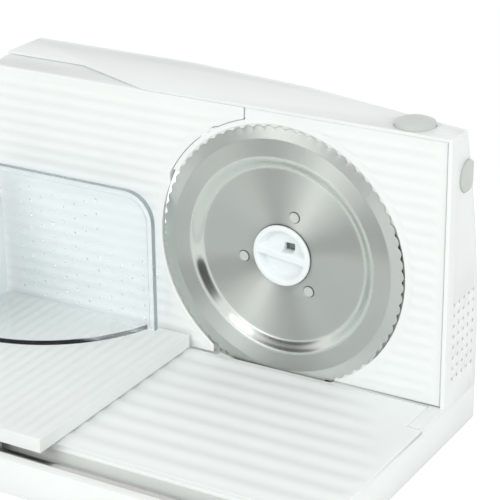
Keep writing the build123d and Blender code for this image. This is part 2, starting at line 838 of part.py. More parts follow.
def lower_table():
    """The ribbed table that the carriage slides over, with a corner cut for the housing's arm."""
    left = seam_gap - left_reach
    inner_right_edge = tower_reach - arm_width - seam_gap
    right = tower_reach - seam_gap
    table = block((left, inner_right_edge), (-table_front, -table_back_gap), (base_top, table_top))
    table += block((left, right), (-table_front, -arm_reach - seam_gap), (base_top, table_top))
    ribs = []
    count = int((table_front - table_rib_pitch) / table_rib_pitch)
    for index in range(count):
        y = -table_rib_pitch * (index + 1)
        end = inner_right_edge if y > -arm_reach - table_rib_pitch / 2 else right
        ribs.append(rib_on_top(left + rib_margin, end - rib_margin, y, table_top, table_rib_rise,
                               table_rib_pitch / 2 - seam_gap, True))
    return table.fuse(*ribs)


def slide_rod():
    """The steel rod in the base's channel that guides the carriage."""
    return rod_x(slide_rod_radius, (slide_rod_left(), tower_reach - wall), slide_rod_y, slide_rod_height)


def carriage():
    """The ribbed sliding table, its upright fence at the left end and the tongue over its runner."""
    bottom = table_top + table_rib_rise + seam_gap
    top = table_top + carriage_height
    deck = block((-carriage_left, -carriage_right), (-carriage_front, -carriage_back), (bottom, top))
    deck -= block((carriage_skirt - carriage_left, -carriage_right - carriage_skirt),
                  (carriage_skirt - carriage_front, -carriage_back - carriage_skirt),
                  (0, top - carriage_deck))
    fence = block((-carriage_left, fence_thickness - carriage_left), (-fence_front, -fence_back),
                  (top - carriage_deck, top + fence_height))
    fence = fillet(fence.edges().filter_by(Axis.X).group_by(Axis.Z)[-1], fence_thickness * 2)
    tongue = block((-runner_left, runner_length - runner_left),
                   (slide_rod_y - runner_half_width, slide_rod_y + runner_half_width),
                   (slide_rod_height + runner_height / 2, top - carriage_deck / 2))
    ribs = []
    left = fence_thickness - carriage_left
    count = int((-carriage_right - left) / carriage_rib_pitch)
    first = (left - carriage_right - carriage_rib_pitch * (count - 1)) / 2
    for index in range(count):
        x = first + carriage_rib_pitch * index
        ribs.append(rib_on_top(-carriage_front + rib_margin / 2, -carriage_back - rib_margin / 2, x, top,
                               carriage_rib_rise, carriage_rib_pitch / 2 - seam_gap, False))
    return deck.fuse(fence, tongue, *ribs)


def carriage_runner():
    """The slippery block under the carriage that runs on the rod."""
    runner = block((-runner_left, runner_length - runner_left),
                   (slide_rod_y - runner_half_width, slide_rod_y + runner_half_width),
                   (slide_rod_height - runner_height / 2, slide_rod_height + runner_height / 2))
    return runner - rod_x(slide_rod_radius + running_gap, (-left_reach, tower_reach), slide_rod_y,
                          slide_rod_height)


def pusher():
    """The clear guard that presses food on the plate: wall with spikes, foot, side and saddle."""
    low = table_top + carriage_height + carriage_rib_rise + seam_gap
    top = low + pusher_height
    fence_inner = fence_thickness - carriage_left
    left = fence_inner + moving_gap
    back = -pusher_gap
    front = back - pusher_thickness
    panel = block((left, -pusher_right), (front, back), (low, top))
    rim = block((left, -pusher_right), (front - pusher_rim_rise, front), (low, top))
    corner = pusher_corner_radius
    panel = fillet(panel.edges().filter_by(Axis.Y).group_by(Axis.Z)[-1].sort_by(Axis.X)[-1], corner)
    rim = fillet(rim.edges().filter_by(Axis.Y).group_by(Axis.Z)[-1].sort_by(Axis.X)[-1], corner)
    window = block((left - cut_overrun, -pusher_right - pusher_rim_width),
                   (front - pusher_rim_rise - cut_overrun, front),
                   (low - cut_overrun, top - pusher_rim_width))
    window = fillet(window.edges().filter_by(Axis.Y).group_by(Axis.Z)[-1].sort_by(Axis.X)[-1],
                    corner - pusher_rim_width)
    rim -= window
    foot = rod_z(foot_arc_radius, (low, low + foot_plate_thickness), foot_arc_x, foot_arc_y)
    foot = foot & block((left, -pusher_right), (-front_reach, back), (low, low + foot_plate_thickness))
    side = block((left, left + saddle_thickness), (back - saddle_depth, back),
                 (low, table_top + carriage_height + fence_height + seam_gap + saddle_thickness))
    saddle_low = table_top + carriage_height + fence_height + seam_gap
    outer = -carriage_left - moving_gap
    saddle = block((outer - saddle_thickness, left + saddle_thickness),
                   (back - saddle_depth, back - fence_thickness * 2),
                   (saddle_low, saddle_low + saddle_thickness))
    lip = block((outer - saddle_thickness, outer), (back - saddle_depth, back - fence_thickness * 2),
                (saddle_low - saddle_lip, saddle_low + saddle_thickness))
    spikes = []
    columns = int((-spike_right - left) / spike_column_pitch)
    for column in range(columns):
        x = -spike_right - spike_column_pitch * column
        stagger = spike_row_pitch * ((columns - column) % 3) / 3
        reach = pusher_height / 2 if x > -spike_full_columns_end else pusher_height - spike_row_pitch
        rows = int((reach - spike_low - stagger) / spike_row_pitch) + 1
        for row in range(rows):
            z = low + spike_low + stagger + spike_row_pitch * row
            spike = Cone(spike_radius, spike_radius / 4, spike_height, align=(Align.CENTER, Align.CENTER,
                                                                            Align.MIN))
            spikes.append(Pos(x, back, z) * Rot(-90, 0, 0) * spike)
    return panel.fuse(rim, foot, side, saddle, lip, *spikes)


def pusher_grip():
    """The rounded grip on the pusher's saddle."""
    saddle_top = table_top + carriage_height + fence_height + seam_gap + saddle_thickness
    middle = -carriage_left + fence_thickness / 2
    back = -pusher_gap - fence_thickness * 3
    grip = block((middle - grip_width / 2, middle + grip_width / 2), (back - grip_length, back),
                 (saddle_top, saddle_top + grip_height))
    return fillet(grip.edges().filter_by(Axis.Z) + grip.edges().group_by(Axis.Z)[-1], grip_edge_radius)


def blade_disc():
    """The dished steel disc: sunk middle, sloping band, flat ring, ground bevel and waved edge."""
    hole = knob_body_radius + knob_fit_gap
    outline = [
        (hole, dish_depth), (disc_radius, dish_depth), (ring_inner_radius, 0), (bevel_inner_radius, 0),
        (blade_radius, blade_thickness - edge_thickness), (blade_radius, blade_thickness),
        (ring_inner_radius, blade_thickness), (disc_radius, dish_depth + blade_thickness),
        (hole, dish_depth + blade_thickness),
    ]
    points = [(x, y, 0) for x, y in outline]
    disc = revolve(make_face(Polyline(*points, close=True)), axis=Axis.Y)
    half = pi / wave_count
    notch_radius = blade_radius - wave_depth
    edges = []
    for index in range(wave_count):
        start, middle, end = (2 * half * index + half * step for step in (0, 1, 2))
        places = []
        for angle, radius in ((start, notch_radius), (middle, blade_radius), (end, notch_radius)):
            places.append((radius * cos(angle), 0, radius * sin(angle)))
        if index == wave_count - 1:
            places[2] = (notch_radius, 0, 0)
        edges.append(ThreePointArc(*places))
    outside = extrude(make_face(edges), amount=blade_thickness + dish_depth + cut_overrun, dir=(0, 1, 0))
    disc = disc & outside
    for x, z in rivet_places():
        disc -= rod_y(rivet_shank_radius + running_gap, (-cut_overrun, dish_depth * 2), x, z - blade_height)
    return Pos(0, 0, blade_height) * disc


def rivet_places():
    return [at_angle(rivet_circle_radius, rivet_first_angle + 360 / rivet_count * index)
            for index in range(rivet_count)]


def blade_rivets():
    rivets = []
    flange_back = dish_depth + blade_thickness + gear_flange_thickness
    for x, z in rivet_places():
        head = rod_y(rivet_head_radius, (dish_depth - rivet_head_height, dish_depth), x, z)
        shank = rod_y(rivet_shank_radius, (dish_depth, flange_back), x, z)
        tail = rod_y(rivet_head_radius, (flange_back, flange_back + rivet_head_height), x, z)
        rivets.append(head + shank + tail)
    return Compound(children=rivets)


def blade_lock_knob():
    """The plastic plug in the blade's middle: rim, two half-moon pockets and a bar to turn it by."""
    front = dish_depth - knob_rim_height
    back = dish_depth + knob_body_depth
    knob = rod_y(knob_rim_radius, (front, dish_depth)) + rod_y(knob_body_radius, (dish_depth, back))
    knob = chamfer(knob.edges().filter_by(GeomType.CIRCLE).group_by(Axis.Y)[0], knob_rim_height / 4)
    pocket = rod_y(knob_pocket_radius, (front - cut_overrun, front + knob_pocket_depth))
    pocket -= block((-knob_rim_radius, knob_rim_radius), (front - cut_overrun, back),
                    (blade_height - knob_bar_width / 2, blade_height + knob_bar_width / 2))
    hole_x, hole_z = at_angle(knob_hole_offset, rivet_first_angle)
    knob -= pocket
    return knob - rod_y(knob_hole_radius, (front, back + cut_overrun), hole_x, hole_z)


def gear_outline(turn, y):
    """The outline of the gear's teeth at one Y, turned by an angle in radians."""
    pitch_radius = gear_module * gear_teeth / 2
    slope = tan(radians(pressure_angle))
    root = pitch_radius - tooth_dedendum
    tip = pitch_radius + tooth_addendum
    root_half = tooth_half_width + tooth_dedendum * slope
    tip_half = tooth_half_width - tooth_addendum * slope
    points = []
    for tooth in range(gear_teeth):
        middle = 2 * pi * tooth / gear_teeth + turn - pi / 2
        for radius, half in ((root, -root_half), (tip, -tip_half), (tip, tip_half), (root, root_half)):
            angle = middle + half / radius
            points.append((radius * cos(angle), y, blade_height + radius * sin(angle)))
    return make_face(Polyline(*points, close=True))


def blade_gear():
    """The moulded wheel riveted to the blade, whose slanted teeth the worm drives."""
    front = gear_middle - gear_width / 2
    back = gear_middle + gear_width / 2
    pitch_radius = gear_module * gear_teeth / 2
    lead_slope = gear_module / (2 * worm_pitch_radius)
    half_twist = gear_width * lead_slope / pitch_radius / 2
    teeth = loft([gear_outline(half_twist, front), gear_outline(-half_twist, back)], ruled=True)
    inner = pitch_radius - gear_rim_thickness
    flange_front = dish_depth + blade_thickness
    flange_back = flange_front + gear_flange_thickness
    knob_back = dish_depth + knob_body_depth + knob_fit_gap
    teeth -= rod_y(inner, (front - cut_overrun, back + cut_overrun))
    web = rod_y(inner + wall / 2, (gear_middle - gear_web_thickness / 2,
                                   gear_middle + gear_web_thickness / 2))
    gear = teeth.fuse(
        web,
        rod_y(gear_flange_radius, (flange_front, flange_back)),
        rod_y(gear_neck_radius, (flange_back - cut_overrun, knob_back + wall)),
        rod_y(gear_hub_radius, (knob_back, gear_back)),
    )
    gear -= rod_y(knob_body_radius + knob_fit_gap, (0, knob_back))
    gear -= rod_y(axle_radius + running_gap + bush_thickness + running_gap, (0, gear_back + cut_overrun))
    for x, z in rivet_places():
        gear -= rod_y(rivet_shank_radius + running_gap, (0, flange_back + cut_overrun), x, z)
    return gear


def blade_bush():
    """The bronze bush in the gear's hub that turns on the axle."""
    bush = rod_y(axle_radius + running_gap + bush_thickness, (bush_front, gear_back))
    return bush - rod_y(axle_radius + running_gap, (0, housing_depth))


def blade_axle():
    """The steel pin that the gear turns on, held by the drive frame."""
    plate_back = frame_plate_front + frame_plate_thickness
    axle = rod_y(axle_radius, (bush_front, plate_back))
    axle = chamfer(axle.edges().filter_by(GeomType.CIRCLE).group_by(Axis.Y)[0], axle_radius / 5)
    return axle + rod_y(axle_head_radius, (plate_back, plate_back + axle_head_height))


def axle_washer():
    washer = rod_y(washer_radius, (frame_plate_front - washer_thickness, frame_plate_front))
    return washer - rod_y(axle_radius + running_gap, (0, housing_depth))


def drive_frame():
    """The cast plate behind the gear, with the worm's bearing block and the motor's bracket."""
    front = frame_plate_front
    back = front + frame_plate_thickness
    left = wall - tower_left
    plate = block((left, frame_right), (front, back), (base_top + wall, blade_height + well_floor_hole))
    bracket = block((frame_right, motor_left), (gear_middle - motor_radius, back + wall),
                    (base_top + wall, worm_height + motor_bracket_half))
    bearing = block((-bearing_block_left, bearing_block_width - bearing_block_left),
                    (gear_middle - bearing_block_half, front + cut_overrun),
                    (base_top + wall, worm_height + bearing_block_half))
    frame = plate.fuse(bracket, bearing)
    frame -= rod_y(axle_radius + running_gap, (0, housing_depth))
    frame -= rod_x(motor_bush_radius + running_gap, (frame_right - cut_overrun, motor_left + cut_overrun),
                   gear_middle, worm_height)
    frame -= rod_x(motor_bush_radius + running_gap, (-tower_left, bearing_block_width - bearing_block_left
                                                     + cut_overrun), gear_middle, worm_height)
    for z in motor_screw_heights():
        frame -= rod_x(screw_radius + running_gap, (frame_right - cut_overrun, motor_left + cut_overrun),
                       gear_middle, z)
    return frame


def motor_screw_heights():
    return (worm_height - motor_screw_circle, worm_height + motor_screw_circle)


def motor_screws():
    """The two screws through the bracket into the motor's front face."""
    screws = []
    inside = motor_left + motor_can_wall
    for z in motor_screw_heights():
        head = rod_x(screw_head_radius, (frame_right - screw_head_height, frame_right), gear_middle, z)
        screws.append(head + rod_x(screw_radius, (frame_right, inside), gear_middle, z))
    return Compound(children=screws)


def shaft_bushes():
    """The sintered bushes of the worm's far end, the motor's front and its back."""
    motor_right = motor_left + motor_length + end_cap_thickness
    spans = (
        (-bearing_block_left, bearing_block_width - bearing_block_left),
        (motor_left - wall, motor_left - wall + motor_bush_length),
        (motor_right - motor_bush_length, motor_right),
    )
    bushes = []
    for span in spans:
        bush = rod_x(motor_bush_radius, span, gear_middle, worm_height)
        bushes.append(bush - rod_x(shaft_radius + running_gap, (-left_reach, tower_reach), gear_middle,
                                   worm_height))
    return Compound(children=bushes)


def motor_can():
    """The motor's drawn steel can, open towards the end cap."""
    right = motor_left + motor_length
    can = rod_x(motor_radius, (motor_left, right), gear_middle, worm_height)
    can -= rod_x(motor_radius - motor_can_wall, (motor_left + motor_can_wall, right + cut_overrun),
                 gear_middle, worm_height)
    can -= rod_x(motor_bush_radius + running_gap, (0, right), gear_middle, worm_height)
    for z in motor_screw_heights():
        can -= rod_x(screw_radius + running_gap, (0, right), gear_middle, z)
    return can


def motor_magnets():
    """Two curved magnets inside the can, one at each side of the rotor."""
    outer = motor_radius - motor_can_wall - running_gap
    start = motor_left + (motor_length - magnet_length) / 2
    ring = rod_x(outer, (start, start + magnet_length), gear_middle, worm_height)
    ring -= rod_x(outer - magnet_thickness, (0, tower_reach), gear_middle, worm_height)
    half = magnet_split / 2
    ring -= block((0, tower_reach), (gear_middle - half, gear_middle + half),
                  (0, worm_height + motor_radius * 2))
    return Compound(children=list(ring.solids()))


def motor_rotor():
    """The wound core on the shaft, drawn as a slotted drum, and its commutator."""
    start = motor_left + (motor_length - rotor_length) / 2 - wall
    end = start + rotor_length
    core = rod_x(rotor_radius, (start, end), gear_middle, worm_height)
    slots = []
    for index in range(rotor_slots):
        angle = 2 * pi * index / rotor_slots
        slot = Box(rotor_length * 2, rotor_slot_width, rotor_slot_depth)
        place = Pos((start + end) / 2, gear_middle, worm_height) * Rot(degrees(angle), 0, 0)
        slots.append(place * Pos(0, 0, rotor_radius) * slot)
    core = core.cut(*slots)
    core += rod_x(commutator_radius, (end, end + commutator_length), gear_middle, worm_height)
    return core - rod_x(shaft_radius, (0, tower_reach), gear_middle, worm_height)


def motor_shaft():
    """The long steel shaft through the motor, with the worm at its left and the fan at its right."""
    return rod_x(shaft_radius, (-shaft_left, shaft_right), gear_middle, worm_height)


def carbon_brushes():
    start = motor_left + (motor_length + rotor_length) / 2 - wall + brush_size / 2
    brushes = []
    for way in (-1, 1):
        near = worm_height + way * (commutator_radius + seam_gap)
        far = near + way * brush_length
        brushes.append(block((start, start + brush_size), (gear_middle - brush_size / 2,
                                                           gear_middle + brush_size / 2),
                             (min(near, far), max(near, far))))
    return Compound(children=brushes)


def motor_end_cap():
    """The plastic cap of the motor: back bearing, and the two holders of the brushes."""
    left = motor_left + motor_length
    cap = rod_x(motor_radius, (left, left + end_cap_thickness), gear_middle, worm_height)
    cap += rod_x(motor_radius - motor_can_wall - running_gap, (left - wall, left), gear_middle,
                 worm_height)
    cap -= rod_x(commutator_radius + wall, (left - wall - cut_overrun, left), gear_middle, worm_height)
    cap -= rod_x(motor_bush_radius + running_gap, (0, tower_reach), gear_middle, worm_height)
    start = motor_left + (motor_length + rotor_length) / 2 - wall + brush_size / 2
    half = brush_size / 2 + running_gap
    for way in (-1, 1):
        near = worm_height + way * (commutator_radius + wall)
        far = worm_height + way * (motor_radius - motor_can_wall - wall)
        low, high = min(near, far), max(near, far)
        cap += block((start - wall / 2, left), (gear_middle - half - wall / 2, gear_middle + half + wall / 2),
                     (low, high))
        cap -= block((start - running_gap, start + brush_size + running_gap),
                     (gear_middle - half, gear_middle + half),
                     (low - cut_overrun, high - (cut_overrun if way > 0 else -cut_overrun * 2)))
    return cap


def cooling_fan():
    """The small fan between the motor and the vents."""
    right = shaft_right
    hub = rod_x(fan_hub_radius, (right - fan_width, right), gear_middle, worm_height)
    vanes = []
    for index in range(fan_blades):
        vane = Box(fan_width, fan_blade_thickness, fan_radius - fan_hub_radius / 2)
        place = Pos(right - fan_width / 2, gear_middle, worm_height) * Rot(360 / fan_blades * index, 0, 0)
        vanes.append(place * Pos(0, 0, (fan_radius + fan_hub_radius / 2) / 2) * vane)
    plate = rod_x(fan_radius, (right - fan_width, right - fan_width + fan_blade_thickness), gear_middle,
                  worm_height)
    fan = hub.fuse(plate, *vanes)
    fan = fan & rod_x(fan_radius, (right - fan_width, right), gear_middle, worm_height)
    return fan - rod_x(shaft_radius, (0, tower_reach), gear_middle, worm_height)


def worm():
    """The steel worm: one thread wound round a sleeve on the motor's shaft."""
    slope = tan(radians(pressure_angle))
    pitch = pi * gear_module
    root = worm_core_radius - worm_root_sink
    tip = worm_pitch_radius + tooth_addendum
    root_half = tooth_half_width + (worm_pitch_radius - root) * slope
    tip_half = tooth_half_width - tooth_addendum * slope
    section = make_face(Polyline((root, 0, -root_half), (tip, 0, -tip_half), (tip, 0, tip_half),
                                 (root, 0, root_half), close=True))
    path = Helix(pitch=pitch, height=worm_length, radius=worm_pitch_radius)
    thread = sweep(section, path=path, is_frenet=True)
    # Half a pitch of lead-in puts a gap of the thread under the gear's lowest tooth
    turns = worm_length / pitch
    thread = Rot(0, 0, 360 * (1 - turns / 2 % 1)) * Pos(0, 0, -worm_length / 2) * thread
    core = Cylinder(worm_core_radius, worm_length + worm_collar * 2)
    screw = core + thread
    screw -= Cylinder(shaft_radius, worm_length * 2)
    return Pos(0, gear_middle, worm_height) * Rot(0, 90, 0) * screw


def top_button():
    """The round grey button on top: skirt, shallow dome, stem and the flange that holds it in."""
    rim = housing_height + top_button_rise
    low = rim - top_button_skirt
    radius = top_button_radius
    dome_radius = (radius ** 2 + top_button_dome ** 2) / (2 * top_button_dome)
    cap = rod_z(radius, (low, rim + top_button_dome), top_button_x, top_button_y)
    dome = Pos(top_button_x, top_button_y, rim + top_button_dome - dome_radius) * Sphere(dome_radius)
    cap = cap & dome
    lug_top = inner_top - seam_gap
    flange = rod_z(radius + button_flange, (lug_top - button_flange_height, lug_top), top_button_x,
                   top_button_y)
    cap += flange & block((top_button_x - radius * 2, top_button_x + radius * 2),
                          (top_button_y - button_lug_half, top_button_y + button_lug_half),
                          (lug_top - button_flange_height, lug_top))
    cap -= rod_z(radius - button_wall, (low - cut_overrun, rim - button_wall), top_button_x, top_button_y)
    stem_low = shelf_height - cut_overrun
    return cap + rod_z(button_stem_radius, (stem_low, rim - button_wall / 2), top_button_x, top_button_y)


def side_button():
    """The grey D-shaped button at the back edge of the end face."""
    outer = tower_reach + side_button_proud
    inner = outer - side_button_length
    cap = side_button_outline(0, (inner, outer))
    cap = chamfer(cap.edges().group_by(Axis.X)[-1], side_button_proud / 2)
    lugs = side_button_outline(button_flange, (inner, inner + button_flange_height))
    cap += lugs & block((inner, inner + button_flange_height),
                        (side_stem_y - side_lug_half, side_stem_y + side_lug_half),
                        (side_button_height - side_button_radius * 2,
                         side_button_height + side_button_radius * 2))
    hollow = side_button_outline(-button_wall, (inner - cut_overrun, outer - button_wall))
    cap -= hollow
    stem_end = stop_wall_x - cut_overrun
    return cap + rod_x(button_stem_radius, (stem_end, outer - button_wall / 2), side_stem_y,
                       side_button_height)


def coil_spring(length):
    """A compression spring along +Z from the origin; prints the least gap between its turns."""
    pitch = (length - spring_wire_radius * 2) / spring_turns
    path = Helix(pitch=pitch, height=pitch * spring_turns, radius=spring_radius)
    section = Plane(origin=path @ 0, z_dir=path % 0) * Circle(spring_wire_radius)
    coil = sweep(section, path=path, is_frenet=True)
    lead = atan(pitch / (2 * pi * spring_radius))
    print(f"spring of {length:.2f} mm: least gap between turns {pitch * cos(lead) - spring_wire_radius * 2:.2f}")
    return Pos(0, 0, spring_wire_radius) * coil


def top_button_spring():
    seat = shelf_height + wall + spring_seat_gap
    length = housing_height + top_button_rise - button_wall - spring_seat_gap - seat
    return Pos(top_button_x, top_button_y, seat) * coil_spring(length)


def side_button_spring():
    seat = stop_wall_x + wall + spring_seat_gap
    length = tower_reach + side_button_proud - button_wall - spring_seat_gap - seat
    return Pos(seat, side_stem_y, side_button_height) * Rot(0, 90, 0) * coil_spring(length)


def top_switch():
    """The switch under the top button's stem, with its post up to the shelf."""
    top = shelf_height - cut_overrun - switch_gap
    length, width, height = switch_size
    body = block((top_button_x - length / 2, top_button_x + length / 2),
                 (top_button_y - width / 2, top_button_y + width / 2), (top - height, top))
    for way in (-1, 1):
        edge = top_button_x + way * (length - switch_post_width) / 2
        body += block((edge - switch_post_width / 2, edge + switch_post_width / 2),
                      (top_button_y - width / 2, top_button_y + width / 2), (top, shelf_height))
    return body


def side_switch():
    """The switch behind the side button's stem, with its posts to the upright wall."""
    right = stop_wall_x - cut_overrun - switch_gap
    length, width, height = switch_size
    body = block((right - height, right), (side_stem_y - width / 2, side_stem_y + width / 2),
                 (side_button_height - length / 2, side_button_height + length / 2 - switch_post_width))
    edge = side_button_height - (length - switch_post_width) / 2
    return body + block((right, stop_wall_x), (side_stem_y - width / 2, side_stem_y + width / 2),
                        (edge - switch_post_width / 2, edge + switch_post_width / 2))


def bracket_front():
    return frame_plate_front - bracket_size[1]


def circuit_board():
    """The small board with the motor's rectifier and its interference capacitor."""
    length, thickness, height = board_size
    back = bracket_front()
    front = back - thickness
    board = block((board_x - length / 2, board_x + length / 2), (front, back),
                  (board_bottom, board_bottom + height))
    span = (board_x - capacitor_length / 2, board_x + capacitor_length / 2)
    drum = rod_x(capacitor_radius, span, front - capacitor_radius + seam_gap, board_bottom + height / 2)
    chip = block(span, (front - capacitor_radius, front),
                 (board_bottom + wall, board_bottom + wall + capacitor_radius))
    return board.fuse(drum, chip)


def board_bracket():
    """The strap on the front of the drive frame that carries the board."""
    length, thickness, height = bracket_size
    return block((bracket_left, bracket_left + length), (bracket_front(), frame_plate_front),
                 (bracket_bottom, bracket_bottom + height))


def cord_bush():
    """The rubber bush in the back cover where the mains cord comes in."""
    surface = end_depth_bottom + back_slant * (tower_reach - cord_bush_x)
    bush = rod_y(cord_bush_radius, (surface - back_skin * 2, surface + cord_bush_proud), cord_bush_x,
                 cord_bush_height)
    bush = chamfer(bush.edges().filter_by(GeomType.CIRCLE).group_by(Axis.Y)[-1], wall / 2)
    flange_back = surface - back_skin - back_slant * cord_bush_flange - running_gap
    bush += rod_y(cord_bush_flange, (flange_back - wall, flange_back), cord_bush_x, cord_bush_height)
    return bush - rod_y(cord_bush_hole, (0, housing_depth * 2), cord_bush_x, cord_bush_height)


pieces = [
    main_housing, rear_cover, housing_screws, front_panel, base_frame, bottom_plate, base_screws, feet,
    lower_table, slide_rod, slide_frame, guide_bushes, drive_frame, blade_axle, axle_washer, shaft_bushes,
    motor_can, motor_magnets, motor_end_cap, motor_screws, carbon_brushes, top_switch, side_switch,
    circuit_board, board_bracket, cord_bush, top_button_spring, side_button_spring, stop_plate, guide_rods,
    cam_follower, dial_cam, thickness_dial, dial_screw, blade_disc, blade_rivets, blade_gear, blade_bush,
    blade_lock_knob, motor_shaft, motor_rotor, worm, cooling_fan, carriage, carriage_runner, pusher,
    pusher_grip, top_button, side_button,
]

os.makedirs("parts", exist_ok=True)
for piece in pieces:
    shape = piece()
    shape = Pos(origin_x, origin_y, 0) * shape
    export_step(shape, f"parts/{piece.__name__}.step")
print(f"{len(pieces)} pieces, blade centre at {origin_x:.2f}, {origin_y:.2f}, {blade_height:.2f}")
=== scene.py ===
# %% [markdown]
# # An electric food slicer, dressed in Blender
# The slicer's solids come from the CAD model, in metres, with the origin on the table under the middle of
# the slicer. X runs along the blade, Y towards the back and Z up. This file adds the camera, the studio, the
# finishes, copies of the springs, and the surfaces that need more care than a solid gives: the blade and its
# plug, the ribbed faces, the top button, the rounded edges and the clear pusher.

# %% Load the CAD model as a fixed frame
import math

import bmesh
import bpy
import numpy as np
from mathutils import Matrix, Vector


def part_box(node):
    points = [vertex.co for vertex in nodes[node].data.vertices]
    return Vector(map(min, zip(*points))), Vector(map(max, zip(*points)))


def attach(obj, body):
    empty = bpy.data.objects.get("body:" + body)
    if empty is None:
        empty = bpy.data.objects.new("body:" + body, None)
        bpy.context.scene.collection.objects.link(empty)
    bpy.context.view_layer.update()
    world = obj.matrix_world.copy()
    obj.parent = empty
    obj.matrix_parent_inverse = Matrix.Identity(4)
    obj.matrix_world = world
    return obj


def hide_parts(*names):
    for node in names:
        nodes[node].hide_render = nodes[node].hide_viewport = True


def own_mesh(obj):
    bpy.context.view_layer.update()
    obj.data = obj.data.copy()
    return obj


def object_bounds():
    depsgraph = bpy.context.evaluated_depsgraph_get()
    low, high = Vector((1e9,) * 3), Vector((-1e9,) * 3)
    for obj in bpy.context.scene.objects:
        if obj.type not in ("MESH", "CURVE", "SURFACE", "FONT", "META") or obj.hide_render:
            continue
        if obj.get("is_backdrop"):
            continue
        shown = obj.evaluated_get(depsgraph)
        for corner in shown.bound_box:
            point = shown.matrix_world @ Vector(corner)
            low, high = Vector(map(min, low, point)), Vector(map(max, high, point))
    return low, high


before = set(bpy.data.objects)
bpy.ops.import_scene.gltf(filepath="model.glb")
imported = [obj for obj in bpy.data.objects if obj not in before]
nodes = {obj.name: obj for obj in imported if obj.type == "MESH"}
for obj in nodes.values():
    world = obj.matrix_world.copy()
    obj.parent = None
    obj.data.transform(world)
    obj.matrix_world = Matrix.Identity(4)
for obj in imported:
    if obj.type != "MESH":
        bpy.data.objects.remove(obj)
cad_low, cad_high = (tuple(corner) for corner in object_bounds())
scene = bpy.context.scene
scene.view_settings.view_transform = "Standard"
MM = 0.001
blade_low, blade_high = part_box("blade_disc")
blade_centre = np.array([(blade_low[0] + blade_high[0]) / 2, blade_low[1],
                         (blade_low[2] + blade_high[2]) / 2])
face_origin = blade_centre * (1, 1, 0)
print("CAD box", cad_low, cad_high, "blade centre", blade_centre)

# %% [markdown]
# ## The camera
# The camera stands to the right of the slicer and a little above it. Its angles, distance and focal length
# were fitted to the blade's rim and to the edges of the housing in the photograph, which is 500 pixels wide.
# Points are given from the blade's centre, so the camera is placed from there too.

# %% Place the camera
IMAGE_PIXELS = 500
FOCAL_PIXELS = 1847.7
AZIMUTH, ELEVATION, ROLL = np.radians([30.64, 22.53, -0.65])
PRINCIPAL = np.array([243.0, 250.0])
BLADE_PIXEL = np.array([279.27, 257.25])
DISTANCE = 1144.39 * MM
NEAR_CLIP, FAR_CLIP = 0.05, 20.0


def camera_axes(azimuth, elevation, roll):
    """Unit vectors to the camera's right, up and back: back points from the blade to the camera, right is
    level, and both are then turned about back by the roll."""
    back = np.array([math.sin(azimuth) * math.cos(elevation), -math.cos(azimuth) * math.cos(elevation),
                     math.sin(elevation)])
    level = np.array([math.cos(azimuth), math.sin(azimuth), 0.0])
    above = np.cross(back, level)
    right = math.cos(roll) * level + math.sin(roll) * above
    up = -math.sin(roll) * level + math.cos(roll) * above
    return right, up, back


right, up, back = camera_axes(AZIMUTH, ELEVATION, ROLL)
offset = (BLADE_PIXEL - PRINCIPAL) * DISTANCE / FOCAL_PIXELS
position = blade_centre + DISTANCE * back - offset[0] * right + offset[1] * up
lens = bpy.data.cameras.new("photo_lens")
lens.lens = FOCAL_PIXELS / IMAGE_PIXELS * lens.sensor_width
lens.shift_x = (IMAGE_PIXELS / 2 - PRINCIPAL[0]) / IMAGE_PIXELS
lens.clip_start, lens.clip_end = NEAR_CLIP, FAR_CLIP
camera = bpy.data.objects.new("photo_camera", lens)
scene.collection.objects.link(camera)
turn = Matrix((right, up, back)).transposed().to_4x4()
camera.matrix_world = Matrix.Translation(Vector(position)) @ turn
scene.camera = camera
print("camera at", position, "lens", lens.lens)

# %% [markdown]
# ## Colours and nodes
# Colours are written as they look on the screen, and one function turns them into the linear values that
# Blender works with. Every material is made of nodes, and one small function adds a node, sets it and
# links it.

# %% Colour and node helpers
def linear(code):
    """sRGB hex code to linear RGBA: the low part of the curve is straight, the rest is a power of 2.4."""
    channels = np.array([int(code[i:i + 2], 16) / 255 for i in (1, 3, 5)])
    low = channels / 12.92
    high = ((channels + 0.055) / 1.055) ** 2.4
    return (*np.where(channels <= 0.04045, low, high), 1.0)


def tinted(code, share):
    """A colour with its light times a share, and no more than white."""
    return (*np.minimum(np.array(linear(code)[:3]) * share, 1.0), 1.0)


def add(tree, kind, inputs=(), **settings):
    """Adds one node to a tree. Settings name its properties or its input sockets. Each of the inputs is a
    socket's name or number with the output that feeds it, or with its constant."""
    node = tree.nodes.new(kind)
    for name, value in settings.items():
        if hasattr(node, name):
            setattr(node, name, value)
        else:
            node.inputs[name.replace("_", " ")].default_value = value
    for target, source in inputs:
        if isinstance(source, bpy.types.NodeSocket):
            tree.links.new(source, node.inputs[target])
        else:
            node.inputs[target].default_value = source
    return node


def ramp(tree, source, stops):
    """A colour ramp over a value. Its stops are pairs of place and RGBA colour, from the lowest place up."""
    node = add(tree, "ShaderNodeValToRGB", [("Fac", source)])
    ends = node.color_ramp.elements[0], node.color_ramp.elements[1]
    for element, (place, colour) in zip(ends, (stops[0], stops[-1])):
        element.position, element.color = place, colour
    for place, colour in stops[1:-1]:
        node.color_ramp.elements.new(place).color = colour
    return node.outputs["Color"]


def new_material(name):
    """An empty node material with its Principled shader already on the output."""
    material = bpy.data.materials.new(name)
    material.use_nodes = True
    tree = material.node_tree
    tree.nodes.clear()
    shader = add(tree, "ShaderNodeBsdfPrincipled")
    add(tree, "ShaderNodeOutputMaterial", [("Surface", shader.outputs["BSDF"])])
    return material, tree, shader


def set_shader(shader, **values):
    """Sets the Principled shader's sockets by name, with underscores for spaces."""
    for name, value in values.items():
        shader.inputs[name.replace("_", " ")].default_value = value


